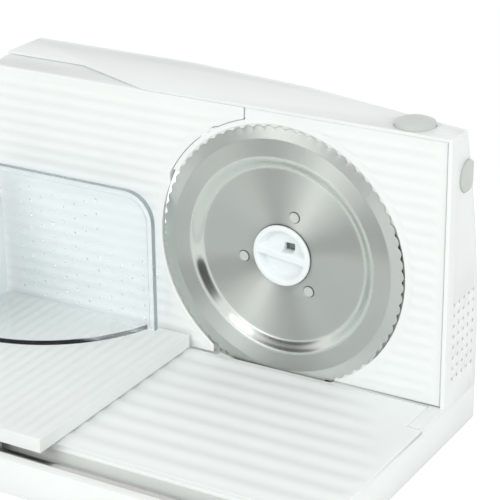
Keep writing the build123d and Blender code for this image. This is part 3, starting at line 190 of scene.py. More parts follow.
def feed(tree, target, source):
    """Links an output to an input of the tree's Principled shader or, for Surface, of its output."""
    kind = "Material Output" if target == "Surface" else "Principled BSDF"
    tree.links.new(source, tree.nodes[kind].inputs[target])


# %% [markdown]
# ## Moulded plastic
# Nearly all of the slicer is white ABS, moulded against a finely sparked steel tool. That leaves a satin
# skin: a soft broad highlight, a grain of a few tenths of a millimetre and very slight changes of gloss
# where hands have rubbed it. The grain is a noise on Object coordinates that only tilts the surface.

# %% Moulded plastics
DRIFT_SCALE, DRIFT_FROM, DRIFT_TO = 18.0, 0.35, 0.65
DRIFT_DARK, DRIFT_PALE = 0.985, 1.01
GLOSS_DRIFT, GRAIN_STRENGTH, PLASTIC_IOR = 0.04, 0.25, 1.53


def moulded_plastic(name, code, roughness, grain_mm, grain_height_mm):
    """ABS or a like plastic: colour drifts a percent or two, roughness drifts with it, and a fine grain
    tilts the surface."""
    material, tree, shader = new_material(name)
    place = add(tree, "ShaderNodeTexCoord").outputs["Object"]
    broad = add(tree, "ShaderNodeTexNoise", [("Vector", place)], Scale=DRIFT_SCALE, Detail=3.0)
    tone = ramp(tree, broad.outputs["Fac"],
                [(DRIFT_FROM, tinted(code, DRIFT_DARK)), (DRIFT_TO, tinted(code, DRIFT_PALE))])
    gloss = add(tree, "ShaderNodeMapRange", [("Value", broad.outputs["Fac"])], To_Min=roughness - GLOSS_DRIFT,
                To_Max=roughness + GLOSS_DRIFT)
    grain = add(tree, "ShaderNodeTexNoise", [("Vector", place)], Scale=1000 / grain_mm, Detail=2.0)
    tilt = add(tree, "ShaderNodeBump", [("Height", grain.outputs["Fac"])], Strength=GRAIN_STRENGTH,
               Distance=grain_height_mm * MM)
    feed(tree, "Base Color", tone)
    feed(tree, "Roughness", gloss.outputs["Result"])
    feed(tree, "Normal", tilt.outputs["Normal"])
    set_shader(shader, IOR=PLASTIC_IOR)
    return material


white_shell = moulded_plastic("moulded_abs_white", "#EAEEEC", 0.42, 0.5, 0.02)
# Painted light and shade: the table is a little lighter than the shell, to make up for the shade it lies in
# beside the housing and the carriage, and the carriage is a little darker.
table_white_painted_light = moulded_plastic("moulded_abs_table_white_painted_light", "#EEF2F1", 0.42, 0.5, 0.02)
deck_white_painted_shade = moulded_plastic("moulded_abs_carriage_white_painted_shade", "#E9EDEB", 0.42, 0.5, 0.02)
white_inner = moulded_plastic("moulded_abs_inner_white", "#DEE0DE", 0.5, 0.5, 0.02)
grey_button = moulded_plastic("moulded_abs_light_grey", "#C6CBC8", 0.26, 0.5, 0.01)
plug_white = moulded_plastic("moulded_pom_white", "#E9EFEF", 0.32, 0.4, 0.01)
gear_plastic = moulded_plastic("moulded_pom_natural", "#E2DFD2", 0.4, 0.5, 0.02)
black_plastic = moulded_plastic("moulded_nylon_black", "#2A2A2B", 0.45, 0.5, 0.03)
rubber = moulded_plastic("moulded_rubber_dark", "#2E2E2F", 0.75, 0.4, 0.04)
carbon = moulded_plastic("pressed_carbon", "#232324", 0.6, 0.3, 0.03)
ferrite = moulded_plastic("sintered_ferrite", "#333335", 0.55, 0.3, 0.03)
board_green = moulded_plastic("glass_fibre_board", "#1F5A38", 0.4, 0.3, 0.02)
print("plastics made")

# %% [markdown]
# ## Metals
# The shafts and rods are ground steel, the frame is cast alloy and the bushes are sintered bronze. Each is a
# metal with its own colour, and the marks of how it was made are a stretched or a round noise that changes
# its roughness and tilts it slightly.

# %% Metals
GLOSS_SPREAD, MARK_DEPTH = 0.25, 0.02 * MM
ROUND = (1.0, 1.0, 1.0)


def made_metal(name, code, roughness, mark_mm, stretch=ROUND, tilt_strength=0.15):
    """A metal whose marks are a noise stretched by a factor for each axis: 1 is round, 0.1 is long."""
    material, tree, shader = new_material(name)
    place = add(tree, "ShaderNodeTexCoord").outputs["Object"]
    along = add(tree, "ShaderNodeMapping", [("Vector", place)], Scale=stretch)
    marks = add(tree, "ShaderNodeTexNoise", [("Vector", along.outputs["Vector"])], Scale=1000 / mark_mm,
                Detail=4.0)
    gloss = add(tree, "ShaderNodeMapRange", [("Value", marks.outputs["Fac"])],
                To_Min=roughness * (1 - GLOSS_SPREAD), To_Max=roughness * (1 + GLOSS_SPREAD))
    tilt = add(tree, "ShaderNodeBump", [("Height", marks.outputs["Fac"])], Strength=tilt_strength,
               Distance=MARK_DEPTH)
    feed(tree, "Roughness", gloss.outputs["Result"])
    feed(tree, "Normal", tilt.outputs["Normal"])
    set_shader(shader, Base_Color=linear(code), Metallic=1.0)
    return material


bright_steel = made_metal("ground_steel", "#C9C8C5", 0.22, 0.6)
sheet_steel = made_metal("zinc_plated_sheet", "#B9BBBC", 0.34, 3.0)
cast_alloy = made_metal("cast_aluminium_alloy", "#B4B6B7", 0.48, 1.2, tilt_strength=0.5)
bronze = made_metal("sintered_bronze", "#B98E52", 0.45, 0.4, tilt_strength=0.4)
copper = made_metal("enamelled_copper_wire", "#A85F36", 0.3, 0.5, (0.1, 1.0, 1.0), 0.6)
spring_wire = made_metal("drawn_spring_wire", "#B7B8B9", 0.28, 0.3)
# The axle's end is steel, and its darker tone is painted shade for the bottom of the plug's hole.
axle_tip_shaded = made_metal("axle_tip_steel_painted_shade", "#9AA09C", 0.6, 0.5)
rivet_steel = made_metal("pressed_rivet_steel", "#DADED9", 0.4, 0.5, tilt_strength=0.2)
print("metals made")

# %% [markdown]
# ## The blade's steel
# The blade is stainless sheet, turned on a lathe, so its marks run in rings round the axis. Such marks spread
# a highlight across the rings and not along them, which gives the fans of light that open from the middle
# of every turned disc. The shader gets that from its anisotropy, whose tangent is the way from the centre.
# The bevel is ground across, so its marks lean by 38 degrees and its fans of light stand elsewhere. The disc,
# the sloping band, the ring and the bevel differ in gloss, by their distance from the axis.

# %% Blade steel
BLADE_RADIUS, BEVEL_RADIUS, BEVEL_LEAN = 85.0, 76.6, math.radians(38)
# Some of these set painted shade: the radius and half widths of thin dark rings round the rivets and the
# plug, and how dark they are painted.
RIVET_CIRCLE, RIVET_ANGLES, RIVET_RADIUS, RIVET_SHADE_WIDTH = 28.0, (72, 192, 312), 3.5 * MM, 0.35 * MM
PLUG_SHADE_RADIUS, PLUG_SHADE_WIDTH, PAINTED_SHADE_SHARE = 20.15, 0.25, 0.3
DISC_ROUGH, BAND_ROUGH, BEVEL_ROUGH, RING_ROUGH = 0.46, 0.19, 0.38, 0.16
ROUGH_BY_RADIUS = ((0.0, DISC_ROUGH), (0.66, DISC_ROUGH), (0.68, BAND_ROUGH), (0.76, BAND_ROUGH),
                   (0.775, DISC_ROUGH), (0.9, DISC_ROUGH), (0.91, BEVEL_ROUGH), (1.0, BEVEL_ROUGH))


def turned_steel(name, code, ring_mm):
    """Steel whose marks follow rings round the blade's axis, and lean on the bevel. The tangent, along which
    the highlight spreads, is the way from the centre, turned about the axis by the lean on the bevel. A thin
    ring round each rivet and round the plug is painted darker: painted shade, where the narrow gap beside
    them lies in shade."""
    material, tree, shader = new_material(name)
    place = add(tree, "ShaderNodeTexCoord").outputs["Object"]
    from_axis = add(tree, "ShaderNodeVectorMath", [(0, place), (1, tuple(blade_centre))],
                    operation="SUBTRACT")
    flat = add(tree, "ShaderNodeVectorMath", [(0, from_axis.outputs[0]), (1, (1.0, 0.0, 1.0))],
               operation="MULTIPLY").outputs[0]
    radius = add(tree, "ShaderNodeVectorMath", [(0, flat)], operation="LENGTH").outputs["Value"]
    radius_mm = add(tree, "ShaderNodeMath", [(0, radius), (1, 1000.0)], operation="MULTIPLY").outputs[0]
    leaning = add(tree, "ShaderNodeVectorRotate", [("Vector", flat)], rotation_type="Y_AXIS",
                  Angle=BEVEL_LEAN)
    on_bevel = add(tree, "ShaderNodeMath", [(0, radius_mm), (1, BEVEL_RADIUS)], operation="GREATER_THAN")
    marks = add(tree, "ShaderNodeMix", [(0, on_bevel.outputs[0]), (4, flat), (5, leaning.outputs[0])],
                data_type="VECTOR")
    spread = add(tree, "ShaderNodeVectorTransform", [("Vector", marks.outputs[1])], vector_type="VECTOR",
                 convert_from="OBJECT", convert_to="WORLD")
    zone = add(tree, "ShaderNodeMapRange", [("Value", radius_mm)], From_Min=0.0, From_Max=BLADE_RADIUS)
    gloss = ramp(tree, zone.outputs["Result"],
                 [(share, (value, value, value, 1.0)) for share, value in ROUGH_BY_RADIUS])
    rings = add(tree, "ShaderNodeTexNoise", [("W", radius_mm)], noise_dimensions="1D", Scale=1.0 / ring_mm,
                Detail=3.0).outputs["Fac"]
    uneven = add(tree, "ShaderNodeMath", [(0, rings), (1, RING_ROUGH), (2, -RING_ROUGH / 2)],
                 operation="MULTIPLY_ADD")
    rough = add(tree, "ShaderNodeMath", [(0, gloss), (1, uneven.outputs[0])], operation="ADD")
    shade = ramp(tree, rings, [(0.3, tinted(code, 0.95)), (0.7, tinted(code, 1.04))])
    # Painted shade: thin rings round the plug and round each rivet are mixed towards a dark tint of the
    # steel, where the narrow gap beside them lies in shade.
    painted_shade_rings = add(tree, "ShaderNodeMath", [(0, radius_mm), (1, PLUG_SHADE_RADIUS), (2, PLUG_SHADE_WIDTH)],
                  operation="COMPARE")
    for angle in np.radians(RIVET_ANGLES):
        rivet = RIVET_CIRCLE * MM * np.array([math.cos(angle), 0.0, math.sin(angle)])
        away = add(tree, "ShaderNodeVectorMath", [(0, flat), (1, tuple(rivet))], operation="DISTANCE")
        ring = add(tree, "ShaderNodeMath", [(0, away.outputs["Value"]), (1, RIVET_RADIUS),
                                            (2, RIVET_SHADE_WIDTH)], operation="COMPARE")
        painted_shade_rings = add(tree, "ShaderNodeMath", [(0, ring.outputs[0]), (1, painted_shade_rings.outputs[0])],
                      operation="ADD")
    darker = add(tree, "ShaderNodeMix", [(0, painted_shade_rings.outputs[0]), (6, shade),
                                         (7, tinted(code, PAINTED_SHADE_SHARE))], data_type="RGBA")
    feed(tree, "Base Color", darker.outputs[2])
    feed(tree, "Roughness", rough.outputs[0])
    feed(tree, "Tangent", spread.outputs[0])
    set_shader(shader, Metallic=1.0, Anisotropic=1.0)
    return material


blade_steel = turned_steel("turned_stainless_steel", "#DBDFDA", 0.35)
print("blade steel made")

# %% [markdown]
# ## Clear plastic
# The pusher is moulded from clear SAN. It is solid, so light bends in and out of it: its flat walls show what
# is behind, and its edges go dark or bright. A path tracer finds hardly any light through such a wall, so for
# shadow and diffuse rays the wall is simply transparent, which lights what lies behind it as in a real room.

# %% Clear plastic
SAN_IOR = 1.45


def clear_plastic(name, code, roughness, clear=1.0):
    """A smooth clear solid for the eye, and no wall at all for rays that only carry light. Less than fully
    clear is a matt edge, which scatters the light that the solid guides to it; a darker colour there is
    painted shade."""
    material, tree, shader = new_material(name)
    place = add(tree, "ShaderNodeTexCoord").outputs["Object"]
    smear = add(tree, "ShaderNodeTexNoise", [("Vector", place)], Scale=30.0, Detail=2.0)
    gloss = add(tree, "ShaderNodeMapRange", [("Value", smear.outputs["Fac"])], To_Min=roughness * 0.5,
                To_Max=roughness * 1.5)
    feed(tree, "Roughness", gloss.outputs["Result"])
    set_shader(shader, Base_Color=linear(code), IOR=SAN_IOR, Transmission_Weight=clear)
    path = add(tree, "ShaderNodeLightPath")
    carries = add(tree, "ShaderNodeMath", [(0, path.outputs["Is Shadow Ray"]),
                                           (1, path.outputs["Is Diffuse Ray"])], operation="MAXIMUM")
    open_wall = add(tree, "ShaderNodeBsdfTransparent", Color=linear(code))
    both = add(tree, "ShaderNodeMixShader", [("Fac", carries.outputs[0]), (1, shader.outputs["BSDF"]),
                                             (2, open_wall.outputs["BSDF"])])
    feed(tree, "Surface", both.outputs["Shader"])
    return material


clear_san = clear_plastic("moulded_clear_san", "#FCFEFF", 0.05, 0.85)
# The edge's blue grey colour is painted shade, on a slightly matt finish.
san_edge_shade = clear_plastic("moulded_clear_san_matt_edge_painted_shade", "#A9B6BC", 0.3, 0.4)
san_foot = clear_plastic("moulded_clear_san_foot", "#FDFEFE", 0.05)
print("clear plastics made")

# %% [markdown]
# ## Surfaces on a grid
# Each new surface is a grid of points that numpy works out as whole arrays. One function turns such a grid
# into a mesh, and the others join, read and hand over meshes. Distances for joining points are in metres.

# %% Mesh helpers
TIGHT, LOOSE = 1e-7, 1e-6


def grid_mesh(name, points, wrap_rings=False, wrap_spokes=False):
    """A smooth mesh from a grid of points [i, j, xyz]. wrap_rings joins the last i to the first, wrap_spokes
    the last j to the first."""
    rows, columns = points.shape[:2]
    index = np.arange(rows * columns).reshape(rows, columns)
    lower = index if wrap_rings else index[:-1]
    upper = np.roll(index, -1, 0) if wrap_rings else index[1:]
    if wrap_spokes:
        near, far = lower, np.roll(lower, -1, 1)
        near_up, far_up = upper, np.roll(upper, -1, 1)
    else:
        near, far, near_up, far_up = lower[:, :-1], lower[:, 1:], upper[:, :-1], upper[:, 1:]
    quads = np.stack([near, far, far_up, near_up], -1).reshape(-1, 4)
    mesh = bpy.data.meshes.new(name)
    mesh.vertices.add(rows * columns)
    mesh.vertices.foreach_set("co", points.reshape(-1).astype(np.float32))
    mesh.loops.add(quads.size)
    mesh.loops.foreach_set("vertex_index", quads.reshape(-1).astype(np.int32))
    mesh.polygons.add(len(quads))
    mesh.polygons.foreach_set("loop_start", (np.arange(len(quads)) * 4).astype(np.int32))
    mesh.polygons.foreach_set("use_smooth", np.ones(len(quads), bool))
    mesh.update(calc_edges=True)
    mesh.validate()
    return mesh


def dress(name, mesh, material, body, replaced):
    """Links a finished mesh as a piece of a body, in place of a CAD node."""
    mesh.materials.clear()
    mesh.materials.append(material)
    thing = bpy.data.objects.new(name, mesh)
    scene.collection.objects.link(thing)
    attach(thing, body)
    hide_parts(replaced)
    print(name, len(mesh.polygons), "faces")
    return thing


def rejoin(mesh, distance, change=None):
    """Joins points of a mesh that are nearer than a distance, and then changes it by a function of its
    bmesh."""
    work = bmesh.new()
    work.from_mesh(mesh)
    bmesh.ops.remove_doubles(work, verts=work.verts, dist=distance)
    if change:
        change(work)
    work.to_mesh(mesh)
    work.free()
    return mesh


def close_outwards(mesh):
    """Joins doubled points of a closed mesh and turns all its faces outwards."""
    return rejoin(mesh, TIGHT, lambda work: bmesh.ops.recalc_face_normals(work, faces=work.faces))


def vectors(items, attribute):
    """A vector attribute of a mesh's points or faces, one row for each."""
    values = np.empty(len(items) * 3)
    items.foreach_get(attribute, values)
    return values.reshape(-1, 3)


# %% [markdown]
# ## Rounded edges
# Two small formulas shape the edges: a step that starts and ends softly, and the drop of a quarter circle,
# which rounds an edge by how far a point is from it.

# %% Edge formulas
EDGE = 0.5


def smooth_step(value, start, end):
    """0 before start, 1 after end, and 3t squared minus 2t cubed between."""
    share = np.clip((value - start) / (end - start), 0, 1)
    return share * share * (3 - 2 * share)


def edge_drop(distance):
    """How far a rounded edge falls away at a distance from the outline: the radius less the height of a
    quarter circle there."""
    inward = np.clip(EDGE - distance, 0, EDGE)
    return EDGE - np.sqrt(EDGE ** 2 - inward ** 2)


def edge_samples(low, high, step):
    """Places from low to high: close together near both ends, where the edge is rounded, even between."""
    near = EDGE * (1 - np.cos(np.linspace(0, math.pi / 2, 5)))
    middle = np.linspace(low + EDGE, high - EDGE, max(int((high - low) / step), 2) + 1)
    return np.concatenate([low + near[:-1], middle, (high - near[:-1])[::-1]])


def least(*distances):
    """The smallest of several distances at each point."""
    return np.minimum.reduce(np.broadcast_arrays(*distances))


def wave(place, first, pitch, count):
    """Ribs along one direction: half of 1 plus the cosine of the phase, which is 1 on each crest, and 0
    outside the first and last rib."""
    turns = (place - first) / pitch
    inside = (turns > -0.5) & (turns < count - 0.5)
    return np.where(inside, (1 + np.cos(2 * math.pi * turns)) / 2, 0.0)


# %% [markdown]
# ## The blade
# A slicer's blade is a sheet steel disc, pressed so that its middle stands back from its rim, ground to a
# bevel on the front and waved round its edge. A profile turned about the axis gives everything but the waves,
# so the surface is worked out as a grid of rings and spokes, and the outer rings are pulled in by the wave of
# each spoke. The waves are shallow humps with sharp notches between them.

# %% Blade
WAVES, WAVE_STEPS, WAVE_DEPTH, WAVE_FOOT = 70, 12, 1.5, 80.0
DISH, SHEET, BORE, BAND_IN, BAND_WIDTH = 4.0, 1.0, 17.5, 57, 8


def blade_profile():
    """Radius and depth behind the edge plane, in mm, along the front from the middle to the edge and back
    along the rear. The band between the disc and the ring follows half a cosine."""
    slope = np.linspace(0, 1, 11)
    band_r = BAND_IN + BAND_WIDTH * slope
    band_y = DISH * (1 + np.cos(math.pi * slope)) / 2
    front_r = np.concatenate([[BORE, 17.9, 30, 44, 56], band_r,
                              [66, 71, 76.2, 76.8, 77.4, 79, 81, 83, 84.7, BLADE_RADIUS]])
    front_y = np.concatenate([[DISH + 0.2, DISH, DISH, DISH, DISH], band_y,
                              [0, 0, 0, 0.03, 0.1, 0.26, 0.44, 0.6, 0.74, 0.78]])
    rear_r = np.concatenate([[BLADE_RADIUS, 84.6, 80, 72, 66], band_r[::-1], [50, 40, 30, BORE]])
    rear_y = np.concatenate([[SHEET - 0.06, SHEET, SHEET, SHEET, SHEET], band_y[::-1] + SHEET,
                             [DISH + SHEET] * 4])
    return np.concatenate([front_r, rear_r]), np.concatenate([front_y, rear_y])


def waved_disc():
    """Each ring is a circle of its profile radius; beyond 80 mm the radius loses a share of the wave, which
    is 1 minus the absolute sine of half the wave's phase: rounded humps, sharp notches."""
    radius, depth = blade_profile()
    angle = np.linspace(0, 2 * math.pi, WAVES * WAVE_STEPS, endpoint=False)
    notch = 1 - np.abs(np.sin(angle * WAVES / 2))
    reach = np.clip((radius - WAVE_FOOT) / (BLADE_RADIUS - WAVE_FOOT), 0, 1) ** 1.5
    pulled = radius[:, None] - WAVE_DEPTH * reach[:, None] * notch[None, :]
    x = blade_centre[0] + pulled * np.cos(angle) * MM
    z = blade_centre[2] + pulled * np.sin(angle) * MM
    y = blade_centre[1] + depth[:, None] * MM + 0 * angle
    return np.stack([x, y, z], -1)


blade_mesh = close_outwards(grid_mesh("slicer_blade", waved_disc(), wrap_rings=True, wrap_spokes=True))
dress("slicer_blade", blade_mesh, blade_steel, "blade", "blade_disc")

# %% [markdown]
# ## The blade's plug
# The plug is one white moulding: a flat rim, two half-moon pockets and a bar between them to grip. A disc of
# rings and spokes carries it. The depth at each point is the rim's, or the pocket's floor, blended by how far
# the point is from the pocket's wall and from the bar. A square hole goes deep beside the bar, and the end of
# the axle shows at its bottom, in a darker steel that is painted shade for the bottom of the hole.

# %% Plug
PLUG_RADIUS, PLUG_FRONT, PLUG_BACK, STEM_RADIUS, STEM_END = 20.0, 1.6, 3.4, 17.2, 10.9
POCKET_RADIUS, POCKET_SLOPE, POCKET_DEPTH = 17.0, 3.4, 5.5
HOLE_X, HOLE_Z, HOLE_DROP, HOLE_FLOOR = 3.6, 5.0, 9.0, 8.8
DEEP_FROM, DEEP_TO, DEEP_RADIUS = 9.0, 10.6, 14.0


def plug_surface():
    """Front of the plug over polar rings: rim at 0, pockets 5.5 mm deep inside 17 mm, sloping walls, a bar
    whose lower wall is the steeper, and a hole 8.8 mm deep; then the outer side and the back."""
    rim, rim_drop = np.array([18.6, 19.0, 19.4, 19.75, 19.95, PLUG_RADIUS]), [0, 0.06, 0.2, 0.5, 0.9, 1.3]
    ring = np.concatenate([np.linspace(0.01, rim[0], 90), rim[1:]])[:, None]
    angle = np.linspace(0, 2 * math.pi, 320, endpoint=False)
    x, z = ring * np.cos(angle), ring * np.sin(angle)
    wall = 1 - smooth_step(ring + 0 * x, POCKET_RADIUS - POCKET_SLOPE, POCKET_RADIUS)
    bar = smooth_step(z + 0.12 * x, 1.6, 5.4) + smooth_step(-z - 0.12 * x, 1.9, 3.1)
    drop = POCKET_DEPTH * wall * bar
    hole = 1 - smooth_step(np.maximum(np.abs(x - HOLE_X) * 0.75, np.abs(z - HOLE_Z)), 2.1, 2.8)
    drop = np.minimum(drop + (HOLE_DROP - drop) * hole, HOLE_FLOOR)
    depth = PLUG_FRONT + drop + np.interp(ring, rim, rim_drop)
    side = np.array([[PLUG_RADIUS, 3.1], [19.7, PLUG_BACK], [STEM_RADIUS, PLUG_BACK], [STEM_RADIUS, STEM_END],
                     [0.01, STEM_END]])
    back = np.stack([side[:, :1] * np.cos(angle), side[:, 1:] + 0 * angle, side[:, :1] * np.sin(angle)], -1)
    return blade_centre + np.concatenate([np.stack([x, depth, z], -1), back]) * MM


plug_mesh = close_outwards(grid_mesh("blade_plug", plug_surface(), wrap_rings=True, wrap_spokes=True))
dress("blade_plug", plug_mesh, plug_white, "blade_knob", "blade_lock_knob")
x, depth, z = (vectors(plug_mesh.polygons, "center") - blade_centre).T / MM
# Painted shade: the faces at the bottom of the hole get the darker axle steel, standing for the shade in the
# deep hole.
deep = (depth > DEEP_FROM) & (depth < DEEP_TO) & (np.hypot(x, z) < DEEP_RADIUS)
plug_mesh.materials.append(axle_tip_shaded)
plug_mesh.polygons.foreach_set("material_index", deep.astype(np.int32))

# %% [markdown]
# ## The ribbed faces
# The front panel, the stop plate, the table and the carriage are moulded with low ribs, so that moist food
# slides and does not stick. The ribs are soft waves a few tenths of a millimetre high that run out before
# they meet an edge. In the CAD model they are separate round bars. Here the whole face is one surface, whose
# height is the wave times a share that fades near the outline. The rest of each moulding is kept from its
# CAD mesh, with the face taken off and its border set back by the radius of the rounded edge.

# %% Take the ribbed face off a CAD mesh
def open_moulding(node, is_face, set_back, surfaces):
    """The node's mesh with its face replaced. is_face tells from centres and normals which faces go,
    set_back moves the points that are left, and surfaces are the new face's grids. All are in mm: x from the
    blade's axis, y from its edge plane and z from the ground."""
    mesh = rejoin(nodes[node].data.copy(), LOOSE)
    centres = (vectors(mesh.polygons, "center") - face_origin) / MM
    going = np.flatnonzero(is_face(centres, vectors(mesh.polygons, "normal")))

    def take_off(work):
        work.faces.ensure_lookup_table()
        bmesh.ops.delete(work, geom=[work.faces[i] for i in going], context="FACES")

    rejoin(mesh, 0.0, take_off)
    points = set_back((vectors(mesh.vertices, "co") - face_origin) / MM) * MM + face_origin
    mesh.vertices.foreach_set("co", points.reshape(-1).astype(np.float32))
    work = bmesh.new()
    work.from_mesh(mesh)
    for surface in surfaces:
        work.from_mesh(grid_mesh(node + "_face", surface * MM + face_origin))
    bmesh.ops.remove_doubles(work, verts=work.verts, dist=TIGHT)
    work.to_mesh(mesh)
    work.free()
    mesh.polygons.foreach_set("use_smooth", np.ones(len(mesh.polygons), bool))
    mesh.set_sharp_from_angle(angle=math.radians(32))
    return mesh


# %% [markdown]
# ## The stop plate
# The plate stands in the plane of the blade, with ribs across and a plain land beside its round edge, which
# follows the blade. Ribs are given by the first one's place, their pitch and their number.

# %% Stop plate
AXIS_HEIGHT = 107.0
PLATE_LEFT, PLATE_RIGHT, PLATE_LOW, PLATE_HIGH = -220.7, -24.8, 30.5, 200.4
PLATE_RIBS, RIB_HEIGHT, LAND, LAND_FADE = (35.5, 8.15, 20), 0.45, 3.4, (-0.6, 2.6)
CAD_HOLE, CAD_FOOT, HOLE_LOW, HOLE_HIGH, HOLE_STEP = 90.2, 31.1, 86.3, 89.4, (34.0, 42.0)
WALL_CLEAR, WALL_TOP, WALL_OVER = 49.1, 75.7, 2.6


def plate_hole(z):
    """Radius of the stop plate's round edge: 86.3 mm beside the blade, 89.4 mm higher up, where it clears the
    guard, and straight at both ends of the housing's inner wall, which the plate slides past."""
    rise = z - AXIS_HEIGHT
    hole = HOLE_LOW + (HOLE_HIGH - HOLE_LOW) * smooth_step(rise, *HOLE_STEP)
    past_wall = np.maximum(hole, np.hypot(WALL_CLEAR, np.minimum(rise, WALL_TOP)))
    return np.where(rise < WALL_TOP + WALL_OVER, past_wall, hole)


def land_fade(distance):
    """The share of the ribs at a distance from a round edge: none on the plain land, all past it."""
    return smooth_step(distance, LAND + LAND_FADE[0], LAND + LAND_FADE[1])


def stop_plate_face():
    """Rows of constant height from the left edge to the right edge or the round edge. Depth is the drop of
    the rounded outline less the ribs, which fade by their distance from the outline."""
    z = edge_samples(PLATE_LOW, PLATE_HIGH, 0.8)[:, None]
    chord = np.sqrt(np.clip(plate_hole(z) ** 2 - (z - AXIS_HEIGHT) ** 2, 0, None))
    end = np.minimum(PLATE_RIGHT, -chord)
    share = (edge_samples(PLATE_LEFT, PLATE_RIGHT, 3.0) - PLATE_LEFT) / (PLATE_RIGHT - PLATE_LEFT)
    x = PLATE_LEFT + share[None, :] * (end - PLATE_LEFT)
    z = z + 0 * x
    to_hole = np.hypot(x, z - AXIS_HEIGHT) - plate_hole(z)
    to_side = least(x - PLATE_LEFT, PLATE_RIGHT - x, z - PLATE_LOW, PLATE_HIGH - z)
    fade = land_fade(to_hole) * smooth_step(to_side, 1.5, 5.5)
    y = edge_drop(np.minimum(to_hole, to_side)) - RIB_HEIGHT * wave(z, *PLATE_RIBS) * fade
    return np.stack([x, y, z], -1)


def plate_set_back(points):
    """The border of the stop plate's face goes back by the edge's radius, out to its new outline."""
    x, y, z = points.T.copy()
    y = np.maximum(y, EDGE)
    ring, angle = np.hypot(x, z - AXIS_HEIGHT), np.arctan2(z - AXIS_HEIGHT, x)
    ring = np.where((y < EDGE + 1e-3) & (np.abs(ring - CAD_HOLE) < 0.2), plate_hole(z), ring)
    z = np.where(z < CAD_FOOT, PLATE_LOW, AXIS_HEIGHT + ring * np.sin(angle))
    return np.stack([ring * np.cos(angle), y, z], -1)


plate_mesh = open_moulding("stop_plate", lambda centres, normals: centres[:, 1] < 0.05, plate_set_back,
                           [stop_plate_face()])
dress("stop_plate_ribbed", plate_mesh, white_shell, "stop_plate", "stop_plate")

# %% [markdown]
# ## The front panel and its guard
# The panel's well has a ledge under the blade's rim. The guard is a narrow arc that carries the ledge on past
# the panel's left edge.

# %% Front panel
PANEL_FRONT, PANEL_LEFT, PANEL_RIGHT, PANEL_RIBS = 0.8, -24.2, 110.8, (38.07, 8.13, 20)
LEDGE_IN, LEDGE_OUT, GUARD_OUT, GUARD_END = 83.4, 85.25, 89.1, math.radians(150)
LEDGE_DEPTH, LEDGE_MORE, LEDGE_RISE, DEEP_START, DEEP_STOP = 0.55, 2.2, 0.6, (-46, -34), (14, 30)
LAND_FROM, INNER_WIDTH, FAR_RING, TINY = 86.2, 3.5, 60.0, 1e-6
LEDGE_RINGS = [0.0, 0.5, 1.2, 1.85, 2.0, 2.15, 2.3, 2.45, 2.7, 3.4]
GUARD_RINGS = [0.0, 1.2, 1.85, 2.0, 2.15, 2.3, 2.45, 2.7, 3.5, 4.5]


def well_depth(ring, angle):
    """Depth of the well's ledge behind the panel's front: half a millimetre under the blade's edge, deeper
    beside the blade at the right, and level again from the ledge's outer radius on."""
    degrees = np.degrees(angle)
    deeper = LEDGE_MORE * smooth_step(degrees, *DEEP_START) * (1 - smooth_step(degrees, *DEEP_STOP))
    return (LEDGE_DEPTH + deeper) * (1 - smooth_step(ring, LEDGE_OUT, LEDGE_OUT + LEDGE_RISE + 0 * angle))


def front_panel_face():
    """Rays from the blade's axis, from the well's ledge out to the rectangle. Depth is the ledge's and the
    outline's drop less the ribs."""
    low, high = PLATE_LOW - AXIS_HEIGHT, PLATE_HIGH - AXIS_HEIGHT
    first = math.atan2(low, math.sqrt(LEDGE_IN ** 2 - low ** 2))
    last = math.atan2(math.sqrt(LEDGE_IN ** 2 - PANEL_LEFT ** 2), PANEL_LEFT)
    corners = [first, math.atan2(low, PANEL_RIGHT), math.atan2(high, PANEL_RIGHT),
               math.atan2(high, PANEL_LEFT), last]
    angle = np.concatenate([np.linspace(start, stop, max(int((stop - start) * 130), 2), endpoint=False)
                            for start, stop in zip(corners[:-1], corners[1:])] + [[last]])
    cosine, sine = np.cos(angle), np.sin(angle)
    along_x = np.where(cosine > 0, PANEL_RIGHT, PANEL_LEFT) / np.where(np.abs(cosine) < TINY, TINY, cosine)
    along_z = np.where(sine > 0, high, low) / np.where(np.abs(sine) < TINY, TINY, sine)
    outer = np.maximum(np.minimum(along_x, along_z), LEDGE_IN)
    near = np.array(LEDGE_RINGS)[:, None]
    share = (edge_samples(INNER_WIDTH, FAR_RING, 0.9)[3:, None] - INNER_WIDTH) / (FAR_RING - INNER_WIDTH)
    room = np.minimum(outer - LEDGE_IN, INNER_WIDTH)
    ring = np.concatenate([LEDGE_IN + near * room / INNER_WIDTH,
                           LEDGE_IN + room + share * (outer - LEDGE_IN - room)])
    x, z = ring * cosine, AXIS_HEIGHT + ring * sine
    to_left = np.where(ring > GUARD_OUT + 0.4, x - PANEL_LEFT, 9.0)
    to_side = np.maximum(least(to_left, PANEL_RIGHT - x, z - PLATE_LOW, PLATE_HIGH - z), 0)
    fade = land_fade(ring - LAND_FROM) * smooth_step(to_side, 3.0, 8.0)
    ribs = RIB_HEIGHT * wave(z, *PANEL_RIBS) * fade
    y = PANEL_FRONT + edge_drop(to_side) + well_depth(ring, angle) - ribs
    return np.stack([x, y, z], -1)[:, ::-1]


def guard_face():
    """The guard's front: a narrow arc that starts at the panel's left edge, with the same ledge inside, a
    rounded outer edge and a rounded end."""
    rounded = GUARD_OUT - EDGE * (1 - np.sin(np.linspace(0, math.pi / 2, 5)))
    ring = np.sort(np.concatenate([LEDGE_IN + np.array(GUARD_RINGS), rounded]))[:, None]
    start = np.arccos(PANEL_LEFT / ring)
    share = np.concatenate([np.linspace(0, 0.985, 60), np.linspace(0.988, 1, 5)])[None, :]
    angle = start + share * (GUARD_END - start)
    to_side = np.minimum(GUARD_OUT - ring, (GUARD_END - angle) * ring)
    y = PANEL_FRONT + edge_drop(np.maximum(to_side, 0)) + well_depth(ring, angle)
    return np.stack([ring * np.cos(angle), y, AXIS_HEIGHT + ring * np.sin(angle)], -1)[:, ::-1]


